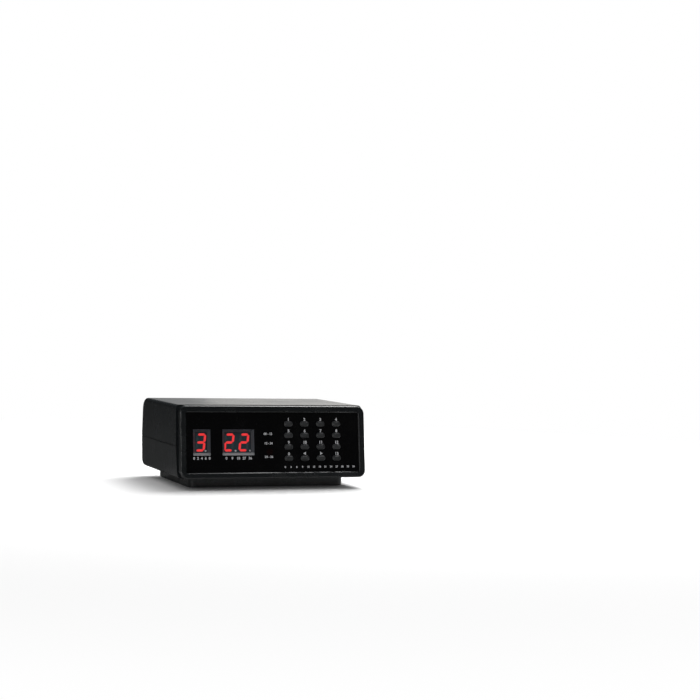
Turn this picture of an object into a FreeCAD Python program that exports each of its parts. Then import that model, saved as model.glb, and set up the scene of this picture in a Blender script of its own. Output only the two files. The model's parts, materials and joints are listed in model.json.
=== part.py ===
import FreeCAD
import Part
import Sketcher
import math
import os

Vector = FreeCAD.Vector
Rotation = FreeCAD.Rotation
Placement = FreeCAD.Placement

# Control box of an antenna rotator, in millimetres.
# Origin under the middle of the box, +X to the right, front towards -Y, +Z up.

# Driving dimensions
sizes = {
    # housing
    "bodyDepth": 118.0,             # bezel's foremost edge to the rear wall
    "partingWidth": 151.0,          # widest place, where the two halves meet
    "coverTaper": 0.5,              # each side wall leans in by this much up to the top
    "caseTaper": 0.8,
    "partingHeight": 33.0,
    "coverTop": 63.9,
    "caseBottom": 9.0,
    "wall": 2.3,
    "edgeRound": 2.9,
    "coverRearRound": 9.0,
    "caseRearRound": 6.0,
    "seamGap": 0.2,
    "partingBevel": 0.4,
    # plinth under the lower case
    "plinthInset": 12.0,
    "plinthRecess": 18.0,
    "plinthRearInset": 9.0,
    "plinthBottom": 1.0,
    "plinthRound": 6.0,
    # leaning front
    "lean": 8.0,
    "bezelSetback": 1.5,            # bezel narrower than the housing on each side
    "bezelDrop": 0.43,              # bezel's top edge under the cover's
    "bezelRim": 4.0,
    "bezelDepth": 8.0,
    "bezelSkin": 1.8,
    "bezelLip": 1.2,
    "bezelCorner": 5.5,
    "openingCorner": 2.4,
    "bezelEdge": 0.9,
    "panelThickness": 2.8,
    "panelPlay": 0.2,
    # display windows, in the plane of the panel
    "windowMargin": 9.95,           # bezel's left edge to the memory window
    "windowSpacing": 9.3,
    "windowBottom": 17.7,
    "windowHeight": 19.8,
    "windowBevel": 2.1,
    "memoryWindowWidth": 13.6,
    "headingWindowWidth": 25.2,
    "displayGap": 0.2,
    "displayMargin": 0.3,
    "displayEdge": 0.4,
    # keys
    "keyMargin": 23.05,             # bezel's right edge to the last column
    "keyTopMargin": 13.4,           # bezel's top edge to the top row
    "columnPitch": 13.05,
    "rowPitch": 8.8,
    "keyLength": 6.8,
    "keyHeight": 4.0,
    "keyCorner": 1.8,
    "keyProud": 1.0,
    "keyDome": 0.9,
    "keyPlay": 0.25,
    "keyTravel": 0.8,
    "flangeLip": 1.2,
    "flangeThickness": 1.0,
    "flangeGap": 0.1,
    "stemRadius": 1.5,
    "switchSide": 6.0,
    "switchHeight": 3.6,
    "switchWell": 3.8,
    "switchFloor": 0.7,
    "domeSide": 3.4,
    "domeHeight": 0.25,
    # infrared receiver
    "sensorSpacing": 12.35,         # heading window's right edge to the sensor
    "sensorHeight": 20.2,
    "sensorRadius": 2.6,
    "sensorPlay": 0.05,
    "lensFlange": 1.1,
    "lensFlangeThickness": 0.8,
    "lensSeat": 0.1,
    "receiverWidth": 7.4,
    "receiverHeight": 8.0,
    "receiverDepth": 6.8,
    # front board
    "boardGap": 8.0,                # from the panel's back to the front board
    "boardThickness": 1.6,
    "frontBoardInset": 5.0,
    "frontBoardBottom": 5.6,
    "frontBoardTopInset": 5.4,
    "frontPostInset": 3.4,
    "frontPostRadius": 2.4,
    # main board
    "mainBoardInset": 17.5,
    "mainBoardSetback": 30.0,
    "mainBoardRearInset": 16.0,
    "mainBoardHeight": 12.6,
    "boardPostRadius": 3.4,
    "boardPostMargin": 5.0,
    # screws
    "screwInset": 9.1,
    "screwSetback": 31.0,
    "screwRearInset": 10.0,
    "bossRadius": 4.2,
    "screwRadius": 1.5,
    "screwPlay": 0.02,
    "screwWayPlay": 0.2,
    "screwGrip": 10.0,
    "headRadius": 2.8,
    "headHeight": 2.0,
    "headPlay": 0.4,
    "headSeat": 5.0,                # depth of the seat under the screws' heads, from the case's bottom
    "smallScrewRadius": 1.1,
    "smallHeadRadius": 2.1,
    "smallHeadHeight": 1.4,
    "smallScrewGrip": 5.0,
    # feet
    "footRadius": 6.0,
    "footHeight": 2.0,
    "footPlay": 0.2,
    "footInset": 14.0,
    "footEdge": 0.5,
    # transformer
    "coreInset": 45.5,              # housing's right side to the middle of the core
    "coreRearShare": 0.38,          # of the main board's depth, rear edge to the middle of the core
    "coreWidth": 48.0,
    "coreStackShare": 0.27,
    "coreHeight": 40.0,
    "coreLeg": 8.0,
    "coilShare": 0.11,              # coil's reach past the core, of the main board's depth
    "coilGap": 0.3,
    "coilRound": 3.0,
    "bobbinWall": 1.0,
    # tall parts of the main board
    "motorCapacitorShare": 0.15,    # its radius, of the main board's depth
    "motorCapacitorHeight": 38.0,
    "canEdge": 1.0,
    "filterInset": 14.0,            # main board's left edge to the filter capacitors
    "filterRearInset": 34.0,
    "filterCapacitorRadius": 5.0,
    "filterCapacitorHeight": 20.0,
    "smallFilterRadius": 3.5,
    "smallFilterHeight": 12.0,
    "filterSpacing": 12.0,
    "relayWidth": 19.0,
    "relayShare": 0.2,              # relay's depth, of the main board's depth
    "relayHeight": 15.0,
    "relayGap": 2.0,
    "relayInset": 2.5,
    "relayEdge": 0.6,
    "sinkInset": 10.0,
    "sinkRearInset": 20.0,
    "sinkPlate": 2.0,
    "sinkHeight": 26.0,
    "finCount": 6,
    "finPitch": 4.2,
    "finThickness": 1.0,
    "finDepth": 8.0,
    "tabWidth": 10.0,
    "tabThickness": 1.3,
    "tabHeight": 15.5,
    "regulatorThickness": 3.3,
    "regulatorHeight": 9.0,
    "regulatorRaise": 4.0,
    "legPitch": 2.54,
    "legThickness": 0.6,
    "fuseRadius": 2.5,
    "fuseLength": 20.0,
    "fuseRaise": 5.0,
    "clipWidth": 6.8,
    "clipLength": 4.0,
    "clipHeight": 7.0,
    "clipMouth": 3.6,
    "clipInset": 0.5,
    "chipLength": 35.6,
    "chipWidth": 7.6,
    "chipHeight": 3.6,
    "chipRaise": 0.8,
    "chipShare": 0.36,              # chip's middle behind the main board's front edge
    "pinPairs": 14,
    "crystalLength": 11.0,
    "crystalWidth": 4.6,
    "crystalHeight": 3.6,
    "crystalRound": 1.5,
    "partGap": 6.7,
    "mainsWidth": 14.0,
    "mainsDepth": 9.0,
    "mainsHeight": 8.0,
    "mainsRearInset": 15.0,
    "mainsPitch": 6.6,
    "mainsWell": 3.6,
    # flat cable between the boards
    "ribbonInset": 37.5,
    "ribbonWidth": 20.0,
    "ribbonThickness": 1.0,
    "ribbonArch": 16.8,             # bend's middle above the main board
    "ribbonGap": 0.3,
    "headerMargin": 1.5,
    "headerDepth": 5.0,
    "headerHeight": 6.0,
    "frontHeaderRaise": 2.4,
    # wire terminals at the back
    "terminalInset": 41.5,
    "terminalWidth": 40.0,
    "terminalHeight": 16.0,
    "terminalProud": 4.5,
    "terminalDepth": 15.0,
    "terminalPlay": 0.2,
    "terminalWall": 1.5,
    "leverPitch": 12.0,
    "leverWidth": 8.0,
    "leverPlay": 0.3,
    "leverDrop": 1.2,               # lever's top under the cover's edge
    "leverNib": 2.8,
    "leverNibReach": 4.3,
    "leverSlotDepth": 6.6,
    "pinInset": 3.0,
    "pinRaise": 7.0,
    "pinRadius": 0.8,
    "pinPlay": 0.05,
    "barrelRadius": 1.9,
    "wireHoleRadius": 1.5,
    "wireHoleLength": 11.0,
    "stripWidth": 3.0,
    "stripThickness": 0.6,
    "stripRaise": 5.0,
    "stripInset": 2.5,
    # cord gland at the back
    "glandInset": 29.5,
    "glandDrop": 9.0,               # gland's middle under the parting
    "glandProud": 6.0,
    "glandReach": 8.0,
    "glandRadius": 6.0,
    "glandFlange": 8.0,
    "glandFlangeThickness": 2.0,
    "glandSeat": 0.1,
    "glandLatch": 7.0,
    "glandBore": 3.3,
    # cooling slots
    "slotWidth": 2.4,
    "slotPitch": 5.0,
    "slotLength": 14.0,
    "slotRaise": 4.0,
    "slotCount": 9,
}


# A size keeps its value and the words that bind it to the sheet
class Size:
    def __init__(self, value, text):
        self.value = value
        self.text = text

    def __add__(self, other):
        return Size(self.value + number(other), "(%s + %s)" % (self.text, wording(other)))

    def __radd__(self, other):
        return Size(number(other) + self.value, "(%s + %s)" % (wording(other), self.text))

    def __sub__(self, other):
        return Size(self.value - number(other), "(%s - %s)" % (self.text, wording(other)))

    def __rsub__(self, other):
        return Size(number(other) - self.value, "(%s - %s)" % (wording(other), self.text))

    def __mul__(self, other):
        return Size(self.value * number(other), "(%s * %s)" % (self.text, wording(other)))

    def __rmul__(self, other):
        return Size(number(other) * self.value, "(%s * %s)" % (wording(other), self.text))

    def __truediv__(self, other):
        return Size(self.value / number(other), "(%s / %s)" % (self.text, wording(other)))

    def __neg__(self):
        return Size(-self.value, "(0 - %s)" % self.text)


def number(item):
    return item.value if isinstance(item, Size) else float(item)


def wording(item):
    return item.text if isinstance(item, Size) else "%.6g" % item


def tangent(angle):
    return Size(math.tan(math.radians(angle.value)), "tan(%s * 1 deg)" % angle.text)


def sine(angle):
    return Size(math.sin(math.radians(angle.value)), "sin(%s * 1 deg)" % angle.text)


def cosine(angle):
    return Size(math.cos(math.radians(angle.value)), "cos(%s * 1 deg)" % angle.text)


def bind(item, name, size):
    if isinstance(size, Size):
        item.setExpression(name, size.text)
    else:
        item.setExpression(name, wording(size))


# The document and its sheet of sizes
doc = FreeCAD.newDocument("RotatorController")
sheet = doc.addObject("Spreadsheet::Sheet", "Sizes")


class Named:
    pass


s = Named()
for row, (alias, value) in enumerate(sizes.items(), 1):
    sheet.set("A%d" % row, alias)
    sheet.set("B%d" % row, str(value))
    sheet.setAlias("B%d" % row, alias)
    setattr(s, alias, Size(value, "Sizes." + alias))
doc.recompute()

# Places worked out from the driving dimensions
halfWidth = s.partingWidth / 2
coverTopWidth = s.partingWidth - 2 * s.coverTaper
caseBottomWidth = s.partingWidth - 2 * s.caseTaper
frontY = -(s.bodyDepth + s.glandProud) / 2
rearY = frontY + s.bodyDepth
plinthFloor = s.plinthBottom + s.wall
plinthWidth = caseBottomWidth - 2 * s.plinthInset
plinthFront = frontY + s.plinthRecess
plinthRear = rearY - s.plinthRearInset
coverCeiling = s.coverTop - s.wall
bezelWidth = s.partingWidth - 2 * s.bezelSetback
bezelHeight = (s.coverTop - s.bezelDrop - s.caseBottom) / cosine(s.lean)
panelInset = s.bezelSkin + s.panelPlay
panelBack = s.bezelLip + s.panelThickness
memoryMiddle = -bezelWidth / 2 + s.windowMargin + s.memoryWindowWidth / 2
headingLeft = memoryMiddle + s.memoryWindowWidth / 2 + s.windowSpacing
headingMiddle = headingLeft + s.headingWindowWidth / 2
sensorMiddle = headingLeft + s.headingWindowWidth + s.sensorSpacing
displayFace = panelBack + s.displayGap
keyColumns = [bezelWidth / 2 - s.keyMargin - (3 - column) * s.columnPitch for column in range(4)]
keyRows = [bezelHeight - s.keyTopMargin - row * s.rowPitch for row in range(4)]
frontBoardFace = panelBack + s.boardGap
frontBoardBack = frontBoardFace + s.boardThickness
frontBoardWidth = bezelWidth - 2 * s.frontBoardInset
frontBoardHeight = bezelHeight - s.frontBoardBottom - s.frontBoardTopInset
frontPostX = frontBoardWidth / 2 - s.frontPostInset
frontPostHeights = (s.frontBoardBottom + s.frontPostInset, s.frontBoardBottom + frontBoardHeight - s.frontPostInset)
frontPostPlaces = [(side * frontPostX, height) for side in (-1, 1) for height in frontPostHeights]
switchFace = frontBoardFace - s.switchHeight
stemTip = frontBoardFace - s.switchFloor - s.domeHeight - s.keyTravel
mainBoardWidth = s.partingWidth - 2 * s.mainBoardInset
mainBoardFront = frontY + s.mainBoardSetback
mainBoardRear = rearY - s.mainBoardRearInset
mainBoardDepth = mainBoardRear - mainBoardFront
mainBoardTop = s.mainBoardHeight + s.boardThickness
coreX = halfWidth - s.coreInset
coreY = mainBoardRear - mainBoardDepth * s.coreRearShare
coreStack = mainBoardDepth * s.coreStackShare
coilOverhang = mainBoardDepth * s.coilShare
motorCapacitorRadius = mainBoardDepth * s.motorCapacitorShare
relayDepth = mainBoardDepth * s.relayShare
ribbonX = halfWidth - s.ribbonInset
glandX = halfWidth - s.glandInset
glandHeight = s.partingHeight - s.glandDrop
terminalX = -halfWidth + s.terminalInset
terminalBottom = s.partingHeight - s.terminalHeight
headSeat = s.caseBottom + s.headSeat
screwPlaces = [(side * (halfWidth - s.screwInset), y) for side in (-1, 1)
               for y in (frontY + s.screwSetback, rearY - s.screwRearInset)]
footPlaces = [(side * (plinthWidth / 2 - s.footInset), y) for side in (-1, 1)
              for y in (plinthFront + s.footInset, plinthRear - s.footInset)]
postPlaces = [(side * (mainBoardWidth / 2 - s.boardPostMargin), y) for side in (-1, 1)
              for y in (mainBoardFront + s.boardPostMargin, mainBoardRear - s.boardPostMargin)]

# Everything on the front is drawn upright in its own frame: X across, Y into the box, Z up the face
frontFrame = Placement(Vector(0, frontY.value, s.caseBottom.value), Rotation(Vector(-1, 0, 0), s.lean.value))

nodes = []


def keep(item, label, onFront=False):
    item.Label = label
    if onFront:
        item.Placement = frontFrame
        bind(item, "Placement.Base.y", frontY)
        bind(item, "Placement.Base.z", s.caseBottom)
        bind(item, "Placement.Rotation.Angle", s.lean)
    nodes.append(item)
    return item


# Part primitives, each bound to the sheet
def placed(item, x, y, z):
    bind(item, "Placement.Base.x", x)
    bind(item, "Placement.Base.y", y)
    bind(item, "Placement.Base.z", z)
    return item


def block(name, middleX, y, z, width, depth, height):
    item = doc.addObject("Part::Box", name)
    bind(item, "Length", width)
    bind(item, "Width", depth)
    bind(item, "Height", height)
    return placed(item, middleX - width / 2, y, z)


def rod(name, x, y, z, radius, length, along="z"):
    item = doc.addObject("Part::Cylinder", name)
    turns = {"z": Rotation(), "y": Rotation(Vector(1, 0, 0), -90), "x": Rotation(Vector(0, 1, 0), 90)}
    item.Placement = Placement(Vector(), turns[along])
    bind(item, "Radius", radius)
    bind(item, "Height", length)
    return placed(item, x, y, z)


def joined(name, pieces):
    item = doc.addObject("Part::MultiFuse", name)
    item.Shapes = pieces
    item.Refine = True
    return item


def grouped(name, pieces):
    item = doc.addObject("Part::Compound", name)
    item.Links = pieces
    return item


def carved(name, base, tools):
    item = doc.addObject("Part::Cut", name)
    item.Base = base
    item.Tool = tools[0] if len(tools) == 1 else grouped(name + "Tools", tools)
    item.Refine = True
    return item


def softened(name, base, size, wanted, kind="Part::Fillet"):
    doc.recompute()
    item = doc.addObject(kind, name)
    item.Base = base
    chosen = [i for i, edge in enumerate(base.Shape.Edges, 1) if wanted(edge)]
    item.Edges = [(i, size.value, size.value) for i in chosen]
    return item


def bevelledTop(name, base, size, top):
    # a small bevel round the end of a block or a can
    return softened(name, base, size, lambda edge: near(edge.BoundBox.ZMin, top) and near(edge.BoundBox.ZMax, top),
                    "Part::Chamfer")


# Sketches and features of a body
def body(name):
    return doc.addObject("PartDesign::Body", name)


def sketchOn(owner, name, role, offset=0):
    sketch = owner.newObject("Sketcher::SketchObject", name)
    plane = [feature for feature in owner.Origin.OriginFeatures if feature.Role == role][0]
    sketch.AttachmentSupport = [(plane, "")]
    sketch.MapMode = "FlatFace"
    bind(sketch, "AttachmentOffset.Base.z", offset)
    return sketch


def fixPoint(sketch, item, end, x, y):
    for kind, size in (("DistanceX", x), ("DistanceY", y)):
        index = sketch.addConstraint(Sketcher.Constraint(kind, -1, 1, item, end, number(size)))
        sketch.setExpression("Constraints[%d]" % index, wording(size))


def outline(sketch, points):
    first = sketch.GeometryCount
    count = len(points)
    corners = [Vector(number(x), number(y), 0) for x, y in points]
    for i in range(count):
        sketch.addGeometry(Part.LineSegment(corners[i], corners[(i + 1) % count]))
    for i in range(count):
        sketch.addConstraint(Sketcher.Constraint("Coincident", first + i, 2, first + (i + 1) % count, 1))
    for i in range(count):
        fixPoint(sketch, first + i, 1, points[i][0], points[i][1])


def rectangle(sketch, middleX, low, width, height):
    left = middleX - width / 2
    outline(sketch, [(left, low), (left + width, low), (left + width, low + height), (left, low + height)])


def roundedRectangle(sketch, middleX, low, width, height, radius):
    left = middleX - width / 2
    right = middleX + width / 2
    top = low + height
    sides = [((left + radius, low), (right - radius, low)), ((right, low + radius), (right, top - radius)),
             ((right - radius, top), (left + radius, top)), ((left, top - radius), (left, low + radius))]
    centres = [(right - radius, low + radius), (right - radius, top - radius),
               (left + radius, top - radius), (left + radius, low + radius)]
    first = sketch.GeometryCount
    for start, end in sides:
        sketch.addGeometry(Part.LineSegment(Vector(number(start[0]), number(start[1]), 0),
                                            Vector(number(end[0]), number(end[1]), 0)))
    for i, (x, y) in enumerate(centres):
        circle = Part.Circle(Vector(number(x), number(y), 0), Vector(0, 0, 1), number(radius))
        angle = -math.pi / 2 + i * math.pi / 2
        sketch.addGeometry(Part.ArcOfCircle(circle, angle, angle + math.pi / 2))
    for i, (start, end) in enumerate(sides):
        fixPoint(sketch, first + i, 1, start[0], start[1])
        fixPoint(sketch, first + i, 2, end[0], end[1])
    for i in range(4):
        sketch.addConstraint(Sketcher.Constraint("Coincident", first + i, 2, first + 4 + i, 1))
        sketch.addConstraint(Sketcher.Constraint("Coincident", first + 4 + i, 2, first + (i + 1) % 4, 1))
        index = sketch.addConstraint(Sketcher.Constraint("Radius", first + 4 + i, number(radius)))
        sketch.setExpression("Constraints[%d]" % index, wording(radius))


def circles(sketch, places, radius):
    for x, y in places:
        item = sketch.addGeometry(Part.Circle(Vector(number(x), number(y), 0), Vector(0, 0, 1), number(radius)))
        fixPoint(sketch, item, 3, x, y)
        index = sketch.addConstraint(Sketcher.Constraint("Radius", item, number(radius)))
        sketch.setExpression("Constraints[%d]" % index, wording(radius))


def pad(owner, name, sketch, length, inward=False, symmetric=False):
    feature = owner.newObject("PartDesign::Pad", name)
    feature.Profile = sketch
    feature.SideType = "Symmetric" if symmetric else "One side"
    feature.Reversed = inward
    bind(feature, "Length", length)
    sketch.Visibility = False
    return feature


def pocket(owner, name, sketch, length, outward=False, symmetric=False):
    feature = owner.newObject("PartDesign::Pocket", name)
    feature.Profile = sketch
    feature.SideType = "Symmetric" if symmetric else "One side"
    feature.Reversed = outward
    bind(feature, "Length", length)
    sketch.Visibility = False
    return feature


def rowOf(owner, name, original, sketch, axis, pitch, count):
    feature = owner.newObject("PartDesign::LinearPattern", name)
    feature.Originals = [original]
    feature.Direction = (sketch, [axis])
    bind(feature, "Length", pitch * (count - 1))
    feature.Occurrences = int(number(count))
    owner.Tip = feature
    return feature


def pickEdges(feature, wanted):
    doc.recompute()
    return ["Edge%d" % i for i, edge in enumerate(feature.Shape.Edges, 1) if wanted(edge)]


def rounded(owner, name, feature, radius, wanted):
    item = owner.newObject("PartDesign::Fillet", name)
    item.Base = (feature, pickEdges(feature, wanted))
    bind(item, "Radius", radius)
    return item


def bevelled(owner, name, feature, size, wanted):
    item = owner.newObject("PartDesign::Chamfer", name)
    item.Base = (feature, pickEdges(feature, wanted))
    bind(item, "Size", size)
    return item


def hollowed(owner, name, feature, thickness, opened):
    doc.recompute()
    item = owner.newObject("PartDesign::Thickness", name)
    item.Base = (feature, ["Face%d" % i for i, face in enumerate(feature.Shape.Faces, 1) if opened(face)])
    item.Value = thickness.value
    bind(item, "Value", thickness)
    item.Reversed = True
    item.Mode = 0
    item.Join = 0
    return item


def near(value, target, within=0.01):
    return abs(value - number(target)) < within


def liesAlong(edge, axis):
    box = edge.BoundBox
    spans = {"x": box.XLength, "y": box.YLength, "z": box.ZLength}
    return spans[axis] > 1 and all(span < 0.01 for name, span in spans.items() if name != axis)


# The two halves of the housing
def frontTrim(owner, name):
    # takes away what lies in front of the bezel's back, which leans with the face
    margin = 2
    low = s.caseBottom - margin
    high = s.coverTop + margin
    back = frontY + (s.bezelDepth + s.seamGap) / cosine(s.lean)
    lowY = back + (low - s.caseBottom) * tangent(s.lean)
    highY = back + (high - s.caseBottom) * tangent(s.lean)
    sketch = sketchOn(owner, name + "Sketch", "YZ_Plane")
    outline(sketch, [(frontY - margin, low), (lowY, low), (highY, high), (frontY - margin, high)])
    return pocket(owner, name, sketch, s.partingWidth + 2 * margin, symmetric=True)


def shellBody(name, farHeight, farWidth, rearRound):
    owner = body(name)
    section = sketchOn(owner, name + "Section", "XZ_Plane", -frontY)
    outline(section, [(-halfWidth, s.partingHeight), (halfWidth, s.partingHeight),
                      (farWidth / 2, farHeight), (-farWidth / 2, farHeight)])
    pad(owner, name + "Block", section, s.bodyDepth, inward=True)
    trimmed = frontTrim(owner, name + "Front")
    rear = rounded(owner, name + "RearRound", trimmed, rearRound,
                   lambda edge: liesAlong(edge, "x") and near(edge.BoundBox.YMax, rearY)
                   and near(edge.BoundBox.ZMax, farHeight))

    def sideEdge(edge):
        # the long edges and the rear corners, with the arcs that join them
        box = edge.BoundBox
        atSide = box.XMin * box.XMax > 0 and max(abs(box.XMin), abs(box.XMax)) > farWidth.value / 2 - 0.1
        alongFar = near(box.ZMin, farHeight) and near(box.ZMax, farHeight)
        atRear = box.YMax > rearY.value - 0.01 and box.ZLength > 0.001
        return atSide and (alongFar or atRear)

    soft = rounded(owner, name + "Edges", rear, s.edgeRound, sideEdge)
    shell = hollowed(owner, name + "Shell", soft, s.wall,
                     lambda face: face.Surface.TypeId == "Part::GeomPlane"
                     and (near(face.BoundBox.ZLength, 0) and near(face.BoundBox.ZMax, s.partingHeight)
                          or face.normalAt(0, 0).y < -0.9))
    inner = s.partingWidth.value / 2 - s.wall.value / 2
    rear = rearY.value - s.wall.value / 2
    bevelled(owner, name + "PartingBevel", shell, s.partingBevel,
             lambda edge: near(edge.BoundBox.ZMin, s.partingHeight) and near(edge.BoundBox.ZMax, s.partingHeight)
             and (edge.BoundBox.XMin > inner or edge.BoundBox.XMax < -inner or edge.BoundBox.YMin > rear
                  or edge.Curve.TypeId == "Part::GeomCircle" and edge.BoundBox.YMax > rearY.value - 0.01))
    doc.recompute()
    return owner


def ventRow(owner, name, role, offset, low, outward):
    sketch = sketchOn(owner, name + "Sketch", role, offset)
    first = coreX - s.slotPitch * (s.slotCount - 1) / 2
    rectangle(sketch, first, low, s.slotWidth, s.slotLength)
    slot = pocket(owner, name + "Slot", sketch, s.wall + 3, outward=outward)
    rowOf(owner, name, slot, sketch, "H_Axis", s.slotPitch, s.slotCount)


def upperCover():
    owner = shellBody("Cover", s.coverTop, coverTopWidth, s.coverRearRound)
    bosses = sketchOn(owner, "CoverBossSketch", "XY_Plane", s.partingHeight)
    circles(bosses, screwPlaces, s.bossRadius)
    pad(owner, "CoverBosses", bosses, coverCeiling - s.partingHeight + s.wall / 2)
    pilots = sketchOn(owner, "CoverPilotSketch", "XY_Plane", s.partingHeight)
    circles(pilots, screwPlaces, s.screwRadius + s.screwPlay)
    pocket(owner, "CoverPilots", pilots, s.screwGrip + 2, outward=True)
    ventRow(owner, "CoverVents", "XZ_Plane", -rearY - 1, s.partingHeight + s.slotRaise, True)
    return keep(owner, "upper_cover")


def lowerCase():
    owner = shellBody("Case", s.caseBottom, caseBottomWidth, s.caseRearRound)
    plinthDepth = plinthRear - plinthFront
    plinth = sketchOn(owner, "PlinthSketch", "XY_Plane", s.plinthBottom)
    roundedRectangle(plinth, 0, plinthFront, plinthWidth, plinthDepth, s.plinthRound)
    pad(owner, "Plinth", plinth, s.caseBottom - s.plinthBottom + s.wall / 2)
    well = sketchOn(owner, "PlinthWellSketch", "XY_Plane", plinthFloor)
    roundedRectangle(well, 0, plinthFront + s.wall, plinthWidth - 2 * s.wall,
                     plinthDepth - 2 * s.wall, s.plinthRound - s.wall)
    pocket(owner, "PlinthWell", well, s.caseBottom - s.plinthBottom + 1, outward=True)
    posts = sketchOn(owner, "PostSketch", "XY_Plane", plinthFloor - s.wall / 2)
    circles(posts, postPlaces, s.boardPostRadius)
    pad(owner, "BoardPosts", posts, s.mainBoardHeight - plinthFloor + s.wall / 2)
    bosses = sketchOn(owner, "CaseBossSketch", "XY_Plane", s.caseBottom + s.wall / 2)
    circles(bosses, screwPlaces, s.bossRadius)
    pad(owner, "CaseBosses", bosses, s.partingHeight - s.caseBottom - s.wall / 2)
    ways = sketchOn(owner, "ScrewWaySketch", "XY_Plane", s.partingHeight + 1)
    circles(ways, screwPlaces, s.screwRadius + s.screwWayPlay)
    pocket(owner, "ScrewWays", ways, s.partingHeight - s.caseBottom + 2)
    sinks = sketchOn(owner, "ScrewSinkSketch", "XY_Plane", s.caseBottom - 1)
    circles(sinks, screwPlaces, s.headRadius + s.headPlay)
    pocket(owner, "ScrewSinks", sinks, s.headSeat + 1, outward=True)
    pilots = sketchOn(owner, "PostPilotSketch", "XY_Plane", s.mainBoardHeight)
    circles(pilots, postPlaces, s.smallScrewRadius + s.screwPlay)
    pocket(owner, "PostPilots", pilots, s.smallScrewGrip + 2)
    feet = sketchOn(owner, "FootWellSketch", "XY_Plane", s.plinthBottom - 1)
    circles(feet, footPlaces, s.footRadius + s.footPlay)
    pocket(owner, "FootWells", feet, s.footHeight - s.plinthBottom + 1, outward=True)
    notch = sketchOn(owner, "TerminalNotchSketch", "XZ_Plane", -rearY - 1)
    rectangle(notch, terminalX, terminalBottom - s.terminalPlay, s.terminalWidth + 2 * s.terminalPlay,
              s.terminalHeight + s.terminalPlay + 1)
    pocket(owner, "TerminalNotch", notch, s.wall + 3, outward=True)
    hole = sketchOn(owner, "GlandHoleSketch", "XZ_Plane", -rearY - 1)
    circles(hole, [(glandX, glandHeight)], s.glandRadius + s.glandSeat)
    pocket(owner, "GlandHole", hole, s.wall + 3, outward=True)
    ventRow(owner, "FloorVents", "XY_Plane", plinthFloor + 1, coreY - s.slotLength / 2, False)
    return keep(owner, "lower_case")


# The leaning front: bezel, panel and keys
def frontBezel():
    owner = body("Bezel")
    rise = s.bezelDepth * tangent(s.lean)
    profile = sketchOn(owner, "BezelProfile", "YZ_Plane")
    outline(profile, [(0, 0), (s.bezelDepth, rise), (s.bezelDepth, bezelHeight + rise), (0, bezelHeight)])
    blank = pad(owner, "BezelBlank", profile, bezelWidth, symmetric=True)
    corners = rounded(owner, "BezelCorners", blank, s.bezelCorner,
                      lambda edge: edge.BoundBox.XLength < 0.01 and edge.BoundBox.YLength > 1)
    rounded(owner, "BezelEdge", corners, s.bezelEdge, lambda edge: near(edge.BoundBox.YMax, 0))
    mouth = sketchOn(owner, "BezelMouthSketch", "XZ_Plane", 1)
    roundedRectangle(mouth, 0, s.bezelRim, bezelWidth - 2 * s.bezelRim, bezelHeight - 2 * s.bezelRim, s.openingCorner)
    pocket(owner, "BezelMouth", mouth, s.bezelDepth + 3)
    seat = sketchOn(owner, "PanelSeatSketch", "XZ_Plane", -s.bezelLip)
    roundedRectangle(seat, 0, s.bezelSkin, bezelWidth - 2 * s.bezelSkin, bezelHeight - 2 * s.bezelSkin,
                     s.bezelCorner - s.bezelSkin)
    pocket(owner, "PanelSeat", seat, s.bezelDepth + 3)
    return keep(owner, "front_bezel", onFront=True)


def frontPanel():
    owner = body("Panel")
    plate = sketchOn(owner, "PanelSketch", "XZ_Plane", -s.bezelLip)
    roundedRectangle(plate, 0, panelInset, bezelWidth - 2 * panelInset, bezelHeight - 2 * panelInset,
                     s.bezelCorner - panelInset)
    pad(owner, "PanelPlate", plate, s.panelThickness, inward=True)
    windows = sketchOn(owner, "WindowSketch", "XZ_Plane", 0)
    for middle, width in ((memoryMiddle, s.memoryWindowWidth), (headingMiddle, s.headingWindowWidth)):
        rectangle(windows, middle, s.windowBottom + s.windowBevel, width - 2 * s.windowBevel,
                  s.windowHeight - 2 * s.windowBevel)
    cut = pocket(owner, "Windows", windows, panelBack + 1)
    left = number(memoryMiddle - s.memoryWindowWidth / 2)
    right = number(headingLeft + s.headingWindowWidth)
    bevelled(owner, "WindowBevels", cut, s.windowBevel,
             lambda edge: near(edge.BoundBox.YMax, s.bezelLip) and near(edge.BoundBox.YMin, s.bezelLip)
             and left < edge.BoundBox.XMin and edge.BoundBox.XMax < right
             and s.windowBottom.value < edge.BoundBox.ZMin
             and edge.BoundBox.ZMax < (s.windowBottom + s.windowHeight).value)
    holes = sketchOn(owner, "KeyHoleSketch", "XZ_Plane", 0)
    for height in keyRows:
        roundedRectangle(holes, keyColumns[0], height - s.keyHeight / 2 - s.keyPlay, s.keyLength + 2 * s.keyPlay,
                         s.keyHeight + 2 * s.keyPlay, s.keyCorner + s.keyPlay)
    column = pocket(owner, "KeyHoleColumn", holes, panelBack + 1)
    rowOf(owner, "KeyHoles", column, holes, "H_Axis", s.columnPitch, 4)
    sensor = sketchOn(owner, "SensorHoleSketch", "XZ_Plane", 0)
    circles(sensor, [(sensorMiddle, s.sensorHeight)], s.sensorRadius + s.sensorPlay)
    pocket(owner, "SensorHole", sensor, panelBack + 1)
    posts = sketchOn(owner, "PanelPostSketch", "XZ_Plane", -(panelBack - s.panelThickness / 2))
    circles(posts, frontPostPlaces, s.frontPostRadius)
    pad(owner, "PanelPosts", posts, s.boardGap + s.panelThickness / 2, inward=True)
    pilots = sketchOn(owner, "PanelPilotSketch", "XZ_Plane", -(frontBoardFace + 1))
    circles(pilots, frontPostPlaces, s.smallScrewRadius + s.screwPlay)
    pocket(owner, "PanelPilots", pilots, s.boardGap, outward=True)
    return keep(owner, "front_panel", onFront=True)


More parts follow.
